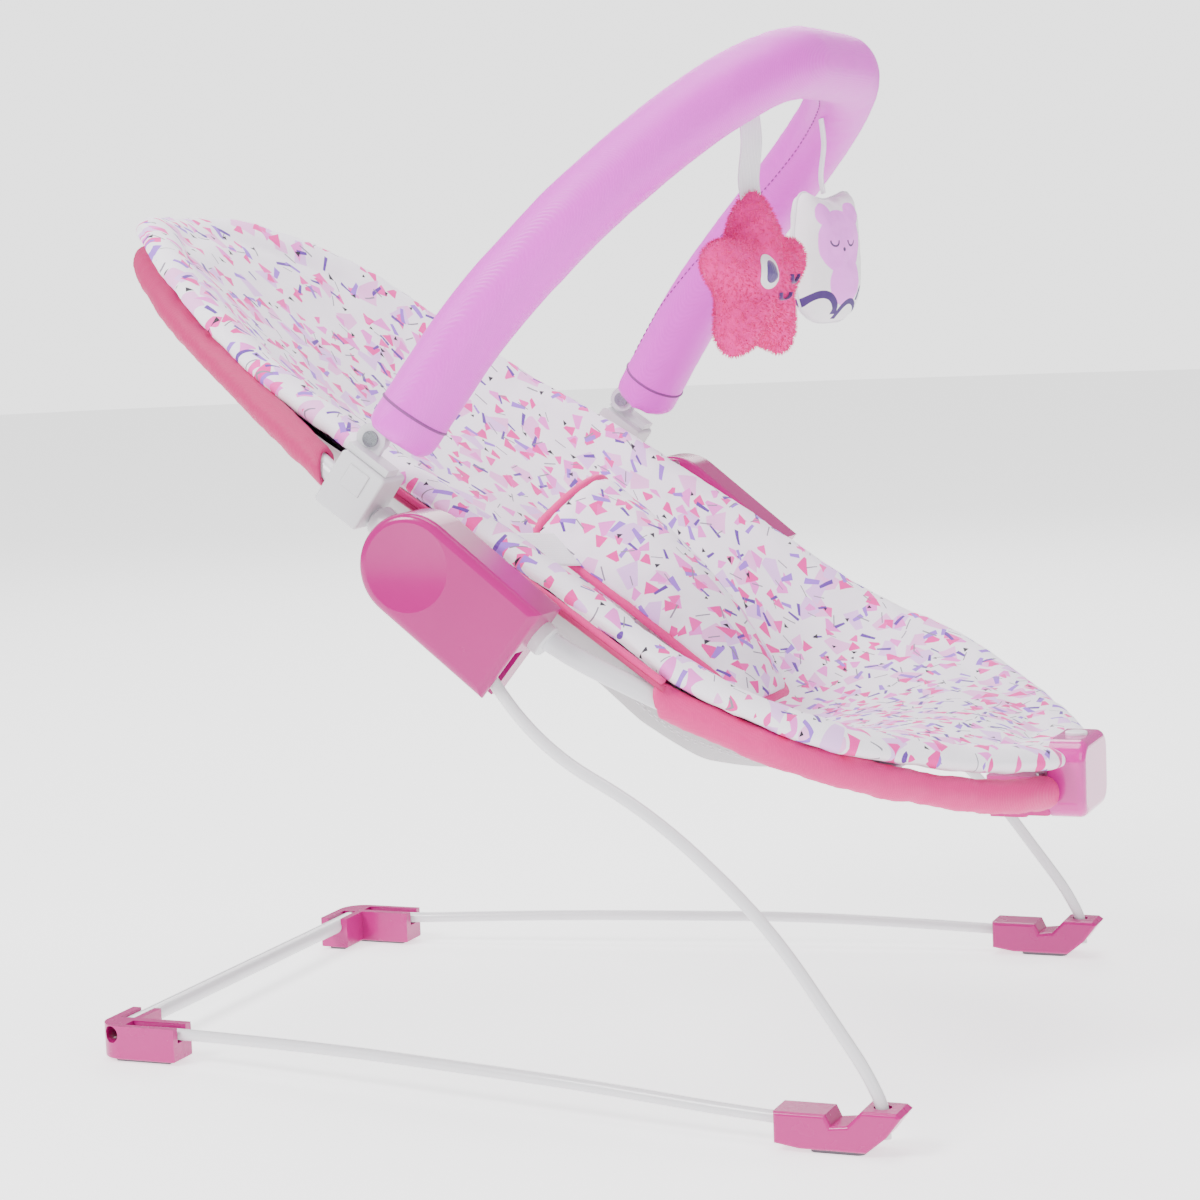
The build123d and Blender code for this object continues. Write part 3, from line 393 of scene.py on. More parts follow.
class Finish(Enum):
    """Every finish on the seat, by what it is."""

    ROD = CoatedMetal("white_rod", srgb("E4E2E6"), 0.32)
    HUB = MouldedPlastic("hub_pink", (0.400, 0.002, 0.165), 0.24, 0.25)
    FOOT = MouldedPlastic("foot_pink", (0.460, 0.002, 0.185), 0.26, 0.25)
    GREY = MouldedPlastic("grey_plastic", srgb("D9D8DC"), 0.38, 0.15)
    RUBBER = MouldedPlastic("rubber_grey", srgb("6F6C74"), 0.7, 0.0, texture=0.2)
    ZINC = CoatedMetal("zinc", srgb("B9BBC0"), 0.3, 1.0)
    PIN = CoatedMetal("pin_steel", srgb("9A9DA3"), 0.28, 1.0)
    TUBE = CoatedMetal("seat_tube", srgb("DAD8DE"), 0.36)
    PRINT = ChipPrint("terrazzo_cloth", srgb("F6F1FA"), (
        Chip((0.930, 0.420, 0.820), 0.0270, 0.0072, 0.0052, 0.60, 0.25, 0.5),
        Chip((0.830, 0.480, 0.930), 0.0300, 0.0080, 0.0046, 0.50, 0.20, 0.4),
        Chip((0.930, 0.180, 0.720), 0.0210, 0.0046, 0.0028, 0.55, 0.35, 0.6),
        Chip((0.880, 0.010, 0.330), 0.0165, 0.0040, 0.0026, 0.52, 0.40, 0.6),
        Chip((0.930, 0.050, 0.430), 0.0190, 0.0036, 0.0022, 0.52, 0.45, 0.5),
        Chip((0.110, 0.020, 0.330), 0.0170, 0.0046, 0.0011, 0.48, 0.05, 0.3),
        Chip((0.330, 0.110, 0.720), 0.0180, 0.0046, 0.0015, 0.48, 0.08, 0.4),
        Chip((0.220, 0.190, 0.250), 0.0155, 0.0044, 0.0004, 0.55),
        Chip((0.010, 0.006, 0.014), 0.0175, 0.0013, 0.0012, 0.46, 0.80),
    ))
    SLING = WovenCloth("sling_cloth", srgb("BDB8BB"), 0.0011, 0.05, 0.8, 0.10, True)
    DEEP_PINK = WovenCloth("deep_pink_cloth", (0.520, 0.003, 0.130), 0.0010, 0.04, 0.6, 0.16)
    BRIGHT_PINK = WovenCloth("bright_pink_cloth", (0.760, 0.004, 0.215), 0.0010, 0.04, 0.55, 0.12)
    BINDING = WovenCloth("binding_tape", (0.800, 0.004, 0.230), 0.0008, 0.04, 0.6, 0.10)
    LINING = WovenCloth("lining_pink", (0.560, 0.004, 0.150), 0.0010, 0.2, 0.75, 0.14)
    WEBBING = WovenCloth("webbing", srgb("F1F0F5"), 0.0016, 0.15, 0.7, 0.05, True)
    SLEEVE = WovenCloth("sleeve_cloth", (0.900, 0.040, 0.800), 0.0007, 0.10, 0.42, 0.06)
    SEAM = WovenCloth("seam_tape", (0.249, 0.044, 0.243), 0.0006, 0.1, 0.7, 0.05)
    RIBBON = WovenCloth("ribbon", srgb("F0EDF4"), 0.0012, 0.3, 0.55, 0.05)
    THREAD = WovenCloth("thread_white", srgb("F3F1F6"), 0.0005, 0.2, 0.6, 0.02)
    PLUSH = Plush("plush_pink", (0.930, 0.012, 0.330), (0.720, 0.005, 0.220))
    EYE = WovenCloth("eye_embroidery", (0.067, 0.023, 0.183), 0.0006, 0.5, 0.45, 0.02)
    BEAR = SleepyBearPrint("bear_print", (0.930, 0.930, 0.930), (0.930, 0.256, 0.930), (0.083, 0.048, 0.126),
                           (0.053, 0.018, 0.145))
    CLEAR_PINK = MouldedPlastic("unit_clear_pink", (0.900, 0.020, 0.480), 0.16, 0.6, 0.35)
    UNIT = MouldedPlastic("unit_pink", (0.620, 0.004, 0.260), 0.35, 0.2)
    BUTTON = MouldedPlastic("button_white", srgb("F2EFF4"), 0.35, 0.3)
    CELL = MouldedPlastic("battery_wrap", srgb("2E3440"), 0.4, 0.3)
    MOTOR = CoatedMetal("motor_metal", srgb("A8AAAF"), 0.33, 1.0)

    def material(self) -> bpy.types.Material:
        """The finish's one material, made at its first use."""
        found = bpy.data.materials.get("finish_" + self.value.name)
        return found or self.value.build()

    def dress(self, *pieces: bpy.types.Object) -> None:
        """Give pieces this finish in every slot."""
        for piece in pieces:
            piece.data.materials.clear()
            piece.data.materials.append(self.material())


# ---------------------------------------------------------------- mesh tools
def settle(piece: bpy.types.Object, finish: Finish, body: str, node: Optional[str] = None) -> None:
    """Give a piece its finish, slot and body.

    Args:
        piece: the piece.
        finish: its finish.
        body: the body that it rides on.
        node: the CAD node that it replaces, if any.

    Returns:
        Nothing.
    """
    finish.dress(piece)
    if node:
        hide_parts(node)
    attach(piece, body)


def new_piece(name: str, points: np.ndarray, faces: Sequence[Sequence[int]],
              smooth: bool = True) -> bpy.types.Object:
    """A mesh piece in the shared frame, doubles merged and faces outward.

    Args:
        name: the piece's name.
        points: one row per vertex, metres.
        faces: vertex numbers of each face.
        smooth: shade it smooth.

    Returns:
        The new object.
    """
    mesh = bpy.data.meshes.new(name)
    mesh.from_pydata([tuple(p) for p in points], [], [list(f) for f in faces])
    piece = bpy.data.objects.new(name, mesh)
    bpy.context.scene.collection.objects.link(piece)
    tidy_mesh(piece, smooth)
    return piece


def tidy_mesh(piece: bpy.types.Object, smooth: bool = True, outward: bool = True) -> None:
    """Merge doubles, turn faces outward and set the shading.

    Args:
        piece: the mesh object.
        smooth: shade it smooth.
        outward: recalculate the face directions.
    """
    bm = bmesh.new()
    bm.from_mesh(piece.data)
    bmesh.ops.remove_doubles(bm, verts=bm.verts, dist=1e-6)
    bmesh.ops.dissolve_degenerate(bm, edges=bm.edges, dist=1e-7)
    if outward:
        bmesh.ops.recalc_face_normals(bm, faces=bm.faces)
    bm.to_mesh(piece.data)
    bm.free()
    for polygon in piece.data.polygons:
        polygon.use_smooth = smooth


def bake(piece: bpy.types.Object) -> bpy.types.Object:
    """Turn a piece and its modifiers into a plain mesh.

    Args:
        piece: a mesh or curve object.

    Returns:
        The same object, or a mesh object in place of a curve.
    """
    graph = bpy.context.evaluated_depsgraph_get()
    mesh = bpy.data.meshes.new_from_object(piece.evaluated_get(graph), preserve_all_data_layers=True,
                                           depsgraph=graph)
    if piece.type == "MESH":
        piece.modifiers.clear()
        piece.data = mesh
        return piece
    name = piece.name
    bpy.data.objects.remove(piece)
    solid = bpy.data.objects.new(name, mesh)
    bpy.context.scene.collection.objects.link(solid)
    return solid


def coordinates(piece: bpy.types.Object) -> np.ndarray:
    """Vertex places, one row each."""
    flat = np.empty(3 * len(piece.data.vertices))
    piece.data.vertices.foreach_get("co", flat)
    return flat.reshape(-1, 3)


def move_to(piece: bpy.types.Object, places: np.ndarray) -> None:
    """Set all vertex places."""
    piece.data.vertices.foreach_set("co", places.astype(np.float32).ravel())
    piece.data.update()


def normals(piece: bpy.types.Object) -> np.ndarray:
    """Vertex normals, one row each."""
    flat = np.empty(3 * len(piece.data.vertices))
    piece.data.vertex_normals.foreach_get("vector", flat)
    return flat.reshape(-1, 3)


def bake_steps(piece: bpy.types.Object, *steps: tuple[str, dict]) -> bpy.types.Object:
    """Put modifiers on a piece and bake them in.

    Args:
        piece: the mesh object.
        steps: each modifier's type and its settings.

    Returns:
        The piece.
    """
    for kind, settings in steps:
        modifier = piece.modifiers.new(kind.title(), kind)
        for key, value in settings.items():
            setattr(modifier, key, value)
    return bake(piece)


def soft_copy(node: str, name: str, voxel: float, rounds: int) -> bpy.types.Object:
    """A rounded, even-meshed copy of a CAD solid, to be worked as cloth or stuffing.

    Args:
        node: the CAD node.
        name: the new piece's name.
        voxel: mesh size, metres.
        rounds: smoothing passes.

    Returns:
        The new piece.
    """
    mesh = bpy.data.objects[node].data.copy()
    piece = bpy.data.objects.new(name, mesh)
    bpy.context.scene.collection.objects.link(piece)
    tidy_mesh(piece, outward=False)
    return bake_steps(piece, ("REMESH", {"mode": "VOXEL", "voxel_size": voxel, "use_smooth_shade": True}),
                      ("SMOOTH", {"factor": 0.5, "iterations": rounds}))


def rumple(piece: bpy.types.Object, height: float, size: float, seed: float,
           weight: Optional[np.ndarray] = None) -> None:
    """Push vertices along their normals by smooth noise.

    Args:
        piece: the mesh object.
        height: the most a point moves, metres.
        size: width of a rumple, metres.
        seed: shifts the pattern.
        weight: share of the movement at each vertex.
    """
    places, out = coordinates(piece), normals(piece)
    lift = np.array([noise.fractal(Vector(p) / size + Vector((seed, 0, 0)), 0.6, 2.0, 3) for p in places])
    lift *= height if weight is None else height * weight
    move_to(piece, places + out * lift[:, None])


def stuff(piece: bpy.types.Object, pressure: float, cap: float, pinned: Optional[np.ndarray] = None,
          frames: int = 20) -> None:
    """Blow a closed cloth up like stuffing, with a limit on how far it moves.

    Args:
        piece: the closed mesh.
        pressure: cloth pressure.
        cap: the furthest a point may move, metres.
        pinned: hold on each vertex, 0 free to 1 fixed.
        frames: length of the run.
    """
    before = coordinates(piece)
    scene = bpy.context.scene
    cloth = piece.modifiers.new("Cloth", "CLOTH")
    settings = cloth.settings
    settings.quality = 5
    settings.mass = 0.15
    settings.tension_stiffness = settings.compression_stiffness = 12
    settings.shear_stiffness = 5
    settings.bending_stiffness = 0.6
    settings.use_pressure = True
    settings.uniform_pressure_force = pressure
    settings.effector_weights.gravity = 0
    cloth.collision_settings.use_collision = False
    if pinned is not None:
        group = piece.vertex_groups.new(name="held")
        for number, value in enumerate(pinned):
            if value > 0.01:
                group.add([number], float(value), "REPLACE")
        settings.vertex_group_mass = "held"
    cloth.point_cache.frame_start = 1
    cloth.point_cache.frame_end = frames
    for frame_number in range(1, frames + 1):
        scene.frame_set(frame_number)
    bake(piece)
    scene.frame_set(1)
    moved = coordinates(piece) - before
    length = np.linalg.norm(moved, axis=1)
    share = np.minimum(1.0, cap / np.maximum(length, 1e-9))
    move_to(piece, before + moved * share[:, None])


def map_cloth(piece: bpy.types.Object, rule: Callable[[Vector], tuple[float, float]]) -> None:
    """Write the piece's cloth map, in metres, from its places.

    Args:
        piece: the mesh object.
        rule: gives the place on the flat cloth of a point.
    """
    layer = piece.data.uv_layers.new(name="Cloth") if "Cloth" not in piece.data.uv_layers \
        else piece.data.uv_layers["Cloth"]
    flat = [rule(v.co) for v in piece.data.vertices]
    values = np.array([flat[loop.vertex_index] for loop in piece.data.loops], dtype=np.float32)
    layer.data.foreach_set("uv", values.ravel())


def spline_through(points: Sequence[Point], count: int) -> np.ndarray:
    """Points evenly spread on a smooth line through given ones.

    Args:
        points: the line's own points.
        count: number of points wanted.

    Returns:
        One row per point.
    """
    given = np.array(points, float)
    ends = np.vstack([2 * given[0] - given[1], given, 2 * given[-1] - given[-2]])
    fine = []
    for i in range(1, len(ends) - 2):
        p0, p1, p2, p3 = ends[i - 1:i + 3]
        for t in np.linspace(0, 1, 16, endpoint=False):
            fine.append(0.5 * (2 * p1 + (p2 - p0) * t + (2 * p0 - 5 * p1 + 4 * p2 - p3) * t * t
                               + (3 * p1 - p0 - 3 * p2 + p3) * t ** 3))
    fine = np.array(fine + [given[-1]])
    run = np.concatenate([[0], np.cumsum(np.linalg.norm(np.diff(fine, axis=0), axis=1))])
    steps = np.linspace(0, run[-1], count)
    return np.stack([np.interp(steps, run, fine[:, k]) for k in range(fine.shape[1])], axis=1)


def tube(name: str, line: np.ndarray, radius: float, sides: int = 10, closed: bool = False,
         flat: float = 1.0, up: Vector = Vector((0, 0, 1))) -> bpy.types.Object:
    """A round or flattened cord along a line, capped at its ends.

    Args:
        name: the piece's name.
        line: points of the centreline.
        radius: half width across the flat way.
        sides: points round the cord.
        closed: join the last point to the first.
        flat: thickness as a share of the width.
        up: the direction that the thickness faces.

    Returns:
        The new piece.
    """
    count = len(line)
    ahead = np.roll(line, -1, 0) - np.roll(line, 1, 0) if closed else np.gradient(line, axis=0)
    points, faces = [], []
    for centre, along in zip(line, ahead):
        d = Vector(along).normalized()
        side = d.cross(up).normalized()
        top = side.cross(d).normalized()
        for k in range(sides):
            a = 2 * math.pi * k / sides
            points.append(Vector(centre) + side * math.cos(a) * radius + top * math.sin(a) * radius * flat)
    for i in range(count if closed else count - 1):
        for k in range(sides):
            a, b = i * sides + k, i * sides + (k + 1) % sides
            j = ((i + 1) % count) * sides
            faces.append((a, b, j + (k + 1) % sides, j + k))
    if not closed:
        faces.append(tuple(range(sides)))
        faces.append(tuple((count - 1) * sides + k for k in reversed(range(sides))))
    return new_piece(name, np.array([tuple(p) for p in points]), faces)


def shell(grid: np.ndarray) -> list[tuple[int, int, int, int]]:
    """Faces of a grid of points, numbered row by row."""
    rows, columns = grid.shape[:2]
    return [(r * columns + c, r * columns + c + 1, (r + 1) * columns + c + 1, (r + 1) * columns + c)
            for r in range(rows - 1) for c in range(columns - 1)]


# ---------------------------------------------------------------- node-built repeats
class Repeat:
    """A Geometry Nodes tree that lays one small shape many times."""

    def __init__(self, name: str) -> None:
        """Start the tree with its geometry and finish inputs.

        Args:
            name: the tree's name.
        """
        self.tree = bpy.data.node_groups.new(name, "GeometryNodeTree")
        self.tree.interface.new_socket("Geometry", in_out="INPUT", socket_type="NodeSocketGeometry")
        self.tree.interface.new_socket("Finish", in_out="INPUT", socket_type="NodeSocketMaterial")
        self.tree.interface.new_socket("Geometry", in_out="OUTPUT", socket_type="NodeSocketGeometry")
        self.values: dict[str, object] = {}

    def size(self, name: str, value: float) -> None:
        """Add a named size input."""
        self.tree.interface.new_socket(name, in_out="INPUT", socket_type="NodeSocketFloat")
        self.values[name] = value

    def seed(self, value: int) -> None:
        """Add the fixed seed input."""
        self.tree.interface.new_socket("Seed", in_out="INPUT", socket_type="NodeSocketInt")
        self.values["Seed"] = value

    def begin(self) -> bpy.types.Node:
        """The tree's input node."""
        self.inputs = self.tree.nodes.new("NodeGroupInput")
        return self.inputs

    def add(self, kind: str, inputs: Optional[dict] = None, **settings) -> bpy.types.Node:
        """Add one node, set its fields and wire or fill its sockets.

        Args:
            kind: the node's type.
            inputs: values or sockets by input name or number.
            settings: the node's own fields.

        Returns:
            The new node.
        """
        node = self.tree.nodes.new(kind)
        for key, value in settings.items():
            setattr(node, key, value)
        for key, value in (inputs or {}).items():
            if isinstance(value, bpy.types.NodeSocket):
                self.tree.links.new(value, node.inputs[key])
            else:
                node.inputs[key].default_value = value
        return node

    def end(self, geometry: bpy.types.NodeSocket) -> None:
        """Close the tree: realise the copies and give them their finish."""
        solid = self.add("GeometryNodeRealizeInstances", {0: geometry})
        dressed = self.add("GeometryNodeSetMaterial", {"Geometry": solid.outputs[0],
                                                       "Material": self.inputs.outputs["Finish"]})
        self.add("NodeGroupOutput", {0: dressed.outputs[0]})

    def lay(self, piece: bpy.types.Object, finish: "Finish") -> bpy.types.Object:
        """Run the tree on a piece and keep the result as a plain mesh.

        Args:
            piece: the object that carries the path or surface.
            finish: the finish of the copies.

        Returns:
            The piece with its new mesh.
        """
        modifier = piece.modifiers.new(self.tree.name, "NODES")
        modifier.node_group = self.tree
        keys = {i.name: i.identifier for i in self.tree.interface.items_tree if i.in_out == "INPUT"}
        modifier[keys["Finish"]] = finish.material()
        for name, value in self.values.items():
            modifier[keys[name]] = value
        return bake(piece)


def stitch_run(name: str, lines: Iterable[np.ndarray], finish: "Finish", length: float = 0.0032,
               gap: float = 0.0014, thread: float = 0.00045, closed: bool = False) -> bpy.types.Object:
    """Rows of stitches along lines.

    Args:
        name: the piece's name.
        lines: each row's path.
        finish: the thread's finish.
        length: length of one stitch.
        gap: space between stitches.
        thread: half thickness of the thread.
        closed: each path returns to its start.

    Returns:
        The stitches as one mesh.
    """
    points, edges = [], []
    for line in lines:
        first = len(points)
        points.extend(tuple(p) for p in line)
        edges.extend((first + i, first + i + 1) for i in range(len(line) - 1))
        if closed:
            edges.append((len(points) - 1, first))
    mesh = bpy.data.meshes.new(name)
    mesh.from_pydata(points, edges, [])
    piece = bpy.data.objects.new(name, mesh)
    bpy.context.scene.collection.objects.link(piece)
    run = Repeat(name + "_row")
    for label, value in (("Stitch length", length), ("Gap", gap), ("Thread", thread)):
        run.size(label, value)
    given = run.begin().outputs
    path = run.add("GeometryNodeMeshToCurve", {0: given["Geometry"]})
    pitch = run.add("ShaderNodeMath", {0: given["Stitch length"], 1: given["Gap"]}, operation="ADD")
    spots = run.add("GeometryNodeCurveToPoints", {"Curve": path.outputs[0], "Length": pitch.outputs[0]},
                    mode="LENGTH")
    half = run.add("ShaderNodeMath", {0: given["Stitch length"], 1: 0.5}, operation="MULTIPLY")
    size = run.add("ShaderNodeCombineXYZ", {0: given["Thread"], 1: given["Thread"], 2: half.outputs[0]})
    bead = run.add("GeometryNodeMeshUVSphere", {"Segments": 6, "Rings": 4, "Radius": 1.0})
    turn = run.add("FunctionNodeAlignRotationToVector", {"Vector": spots.outputs["Tangent"]}, axis="Z")
    laid = run.add("GeometryNodeInstanceOnPoints",
                   {"Points": spots.outputs["Points"], "Instance": bead.outputs[0],
                                                    "Rotation": turn.outputs[0], "Scale": size.outputs[0]})
    run.end(laid.outputs[0])
    return run.lay(piece, finish)


def pile(name: str, skin: bpy.types.Object, finish: "Finish", density: float, length: float,
         seed: int, marks: Sequence[bpy.types.Object] = ()) -> bpy.types.Object:
    """Short tufts of plush standing on a skin.

    Args:
        name: the piece's name.
        skin: the stuffed form that carries the pile.
        finish: the pile's finish.
        density: tufts per square metre.
        length: length of a tuft.
        seed: fixes where they stand.
        marks: embroidery that the tufts stay clear of.

    Returns:
        The tufts as one mesh.
    """
    piece = bpy.data.objects.new(name, skin.data.copy())
    bpy.context.scene.collection.objects.link(piece)
    if marks:
        bare = bmesh.new()
        bare.from_mesh(piece.data)
        bmesh.ops.subdivide_edges(bare, edges=bare.edges[:], cuts=1, use_grid_fill=True)
        covered = np.vstack([coordinates(mark) for mark in marks])
        middles = np.array([tuple(face.calc_center_median()) for face in bare.faces])
        near = distances_to(covered, middles) < 0.0019
        bmesh.ops.delete(bare, geom=[f for f, hit in zip(bare.faces[:], near) if hit], context="FACES")
        bare.to_mesh(piece.data)
        bare.free()
    fur = Repeat(name + "_tree")
    fur.size("Density", density)
    fur.size("Length", length)
    fur.seed(seed)
    given = fur.begin().outputs
    spots = fur.add("GeometryNodeDistributePointsOnFaces",
                    {"Mesh": given["Geometry"], "Density": given["Density"],
                                                            "Seed": given["Seed"]})
    tuft = fur.add("GeometryNodeMeshCone", {"Vertices": 3, "Radius Bottom": 0.16, "Depth": 1.0},
                   fill_type="NONE")
    jitter = fur.add("FunctionNodeRandomValue", {0: (-0.45, -0.45, -0.7), 1: (0.45, 0.45, 0.25),
                                                 "Seed": given["Seed"]}, data_type="FLOAT_VECTOR")
    lean = fur.add("ShaderNodeVectorMath", {0: spots.outputs["Normal"], 1: jitter.outputs[0]},
                   operation="ADD")
    turn = fur.add("FunctionNodeAlignRotationToVector", {"Vector": lean.outputs[0]}, axis="Z")
    laid = fur.add("GeometryNodeInstanceOnPoints",
                   {"Points": spots.outputs["Points"], "Instance": tuft.outputs[0],
                                                    "Rotation": turn.outputs[0], "Scale": given["Length"]})
    fur.end(laid.outputs[0])
    return fur.lay(piece, finish)


def band(name: str, line: np.ndarray, across: Point, width: float, thickness: float) -> bpy.types.Object:
    """Flat webbing along a line, with rounded edges and a cloth map.

    Args:
        name: the piece's name.
        line: points of the centreline.
        across: the direction of its width.
        width: full width.
        thickness: full thickness.

    Returns:
        The new piece.
    """
    section = [(math.cos(a), math.sin(a)) for a in np.linspace(0, 2 * math.pi, 12, endpoint=False)]
    points, faces = [], []
    run = np.concatenate([[0], np.cumsum(np.linalg.norm(np.diff(line, axis=0), axis=1))])
    for centre, along in zip(line, np.gradient(line, axis=0)):
        d = Vector(along).normalized()
        out = d.cross(Vector(across)).normalized()
        side = out.cross(d).normalized()
        for c, v in section:
            wide = math.copysign(abs(c) ** 0.25, c) * width / 2
            points.append(tuple(Vector(centre) + side * wide + out * math.copysign(abs(v) ** 0.6,
                                                                                   v) * thickness / 2))
    n = len(section)
    for i in range(len(line) - 1):
        faces.extend((i * n + k, i * n + (k + 1) % n, (i + 1) * n + (k + 1) % n,
                      (i + 1) * n + k) for k in range(n))
    faces += [tuple(range(n)), tuple((len(line) - 1) * n + k for k in reversed(range(n)))]
    piece = new_piece(name, np.array(points), faces)
    centres = KDTree(len(line))
    for i, p in enumerate(line):
        centres.insert(p, i)
    centres.balance()
    side = Vector(across).normalized()

    def rule(p: Vector) -> tuple[float, float]:
        """Place on the flat band of a point."""
        at, index, _ = centres.find(p)
        return float((p - at).dot(side)), float(run[index])

    map_cloth(piece, rule)
    return piece


def skin_tree(piece: bpy.types.Object) -> BVHTree:
    """Search tree of a piece's surface."""
    return BVHTree.FromPolygons([v.co for v in piece.data.vertices],
                                [p.vertices[:] for p in piece.data.polygons])


def seam_loop(skin: bpy.types.Object, centre: Vector, facing: Vector, count: int, proud: float) -> np.ndarray:
    """Closed line where a plane through a stuffed form meets its skin.

    Args:
        skin: the form.
        centre: a point inside it.
        facing: the plane's normal.
        count: points on the line.
        proud: how far the line stands off the skin.

    Returns:
        One row per point.
    """
    tree = skin_tree(skin)
    u = facing.cross(Vector((0, 0, 1))).normalized()
    v = u.cross(facing).normalized()
    line = []
    for a in np.linspace(0, 2 * math.pi, count, endpoint=False):
        ray = u * math.cos(a) + v * math.sin(a)
        hit = tree.ray_cast(centre, ray)[0]
        if hit is not None:
            line.append(tuple(hit + ray * proud))
    return np.array(line)


def badge(name: str, skin: bpy.types.Object, centre: Vector, facing: Vector, half: tuple[float, float],
          proud: float, hollow: float = 0.0,
          arc: tuple[float, float] = (0.0, 2 * math.pi)) -> bpy.types.Object:
    """A small embroidered oval, ring or arc that lies on a form's skin.

    Args:
        name: the piece's name.
        skin: the form under it.
        centre: its middle, near the skin.
        facing: the direction that it faces.
        half: half width and half height.
        proud: its height above the skin.
        hollow: inner edge as a share of the outer one.
        arc: first and last angle.

    Returns:
        The new piece.
    """
    tree = skin_tree(skin)
    u = Vector((0, 0, 1)).cross(facing).normalized()
    v = facing.cross(u).normalized()
    angles = np.linspace(arc[0], arc[1], 33)
    grid = []
    for share in np.linspace(hollow, 1.0, 6):
        row = []
        for a in angles:
            start = centre + u * math.cos(a) * half[0] * share + v * math.sin(a) * half[1] * share + facing * 0.05
            hit, out, _, _ = tree.ray_cast(start, -facing)
            crown = proud * math.sqrt(max(0.0, 1 - (abs(2 * share - 1 - hollow) / (1.001 - hollow)) ** 2)) \
                if hollow else proud * math.sqrt(max(0.0, 1 - share ** 2))
            row.append(tuple((hit or centre) + facing * (0.0003 + crown)))
        grid.append(row)
    grid = np.array(grid)
    return new_piece(name, grid.reshape(-1, 3), shell(grid))


def smooth_rows(grid: np.ndarray, rounds: int) -> np.ndarray:
    """Relax a grid of points, its outline held."""
    out = grid.copy()
    for _ in range(rounds):
        out[1:-1, 1:-1] = (0.4 * out[1:-1, 1:-1] + 0.15 * (out[:-2, 1:-1] + out[2:, 1:-1])
                           + 0.15 * (out[1:-1, :-2] + out[1:-1, 2:]))
    return out


def grid_normals(grid: np.ndarray, towards: Point) -> np.ndarray:
    """Unit normals of a grid of points, on the side of a direction."""
    rows = np.gradient(grid, axis=0)
    columns = np.gradient(grid, axis=1)
    out = np.cross(rows, columns)
    out /= np.maximum(np.linalg.norm(out, axis=2, keepdims=True), 1e-12)
    sign = np.sign((out * np.array(towards)).sum(axis=2, keepdims=True))
    return out * np.where(sign == 0, 1, sign)


def quilt(name: str, middle: np.ndarray, half_thick: np.ndarray, towards: Point,
          cloth: np.ndarray, under: float = 0.85) -> bpy.types.Object:
    """A closed pad from its middle surface and its half thickness.

    Args:
        name: the piece's name.
        middle: grid of points of the middle surface.
        half_thick: half thickness at each point, zero round the outline.
        towards: a direction on the pad's upper side.
        cloth: place on the flat cloth at each point.
        under: thickness below the middle as a share of that above.

    Returns:
        The pad with its cloth map.
    """
    out = grid_normals(middle, towards)
    upper = middle + out * half_thick[..., None]
    lower = middle - out * (under * half_thick)[..., None]
    points = np.vstack([upper.reshape(-1, 3), lower.reshape(-1, 3)])
    count = upper.shape[0] * upper.shape[1]
    faces = shell(upper)
    faces += [tuple(count + k for k in reversed(f)) for f in shell(lower)]
    piece = new_piece(name, points, faces)
    tree = KDTree(len(points))
    for i, p in enumerate(points):
        tree.insert(p, i)
    tree.balance()
    flat = np.vstack([cloth.reshape(-1, 2), cloth.reshape(-1, 2)])
    map_cloth(piece, lambda p: tuple(flat[tree.find(p)[1]]))
    return piece


def stuffed_form(name: str, centre: Vector, facing: Vector, outline: Callable[[float], float],
                 half_thick: float,
                 shoulder: float = 2.2) -> bpy.types.Object:
    """A closed stuffed form sewn from two faces of one outline.

    Args:
        name: the piece's name.
        centre: its middle.
        facing: the direction of its front.
        outline: radius of the outline at an angle.
        half_thick: half thickness at the middle.
        shoulder: how full it stays towards its edge.

    Returns:
        The new piece.
    """
    side = Vector((0, 0, 1)).cross(facing).normalized()
    angles = np.linspace(0, 2 * math.pi, 121)
    grids = []
    for sign in (1, -1):
        grid = []
        for share in np.sin(np.linspace(0, math.pi / 2, 20)):
            row = []
            for a in angles:
                reach = outline(a) * share
                edge = 0.55 + 0.45 * outline(a) / outline(math.pi / 2)
                lift = sign * half_thick * edge * max(0.0, 1 - share ** shoulder) ** 0.5
                row.append(tuple(centre + side * math.cos(a) * reach + Vector((0, 0, math.sin(a) * reach))
                                 + facing * (lift * (1 - share) + sign * half_thick * 0.75 * share
                                             * max(0.0, 1 - share ** shoulder) ** 0.5)))
            grid.append(row)
        grids.append(np.array(grid))
    count = grids[0].shape[0] * grids[0].shape[1]
    faces = shell(grids[0]) + [tuple(count + k for k in reversed(f)) for f in shell(grids[1])]
    return new_piece(name, np.vstack([g.reshape(-1, 3) for g in grids]), faces)


def distances_to(line: np.ndarray, places: np.ndarray) -> np.ndarray:
    """Distance of each place to the nearest point of a line."""
    tree = KDTree(len(line))
    for i, p in enumerate(line):
        tree.insert(p, i)
    tree.balance()
    return np.array([tree.find(p)[2] for p in places])


# ---------------------------------------------------------------- sub-assemblies
def mirrored(points: Sequence[Point]) -> list[Point]:
    """A right-hand line joined to its left-hand image."""
    return list(points) + [(x, -y, z) for x, y, z in reversed(points)]


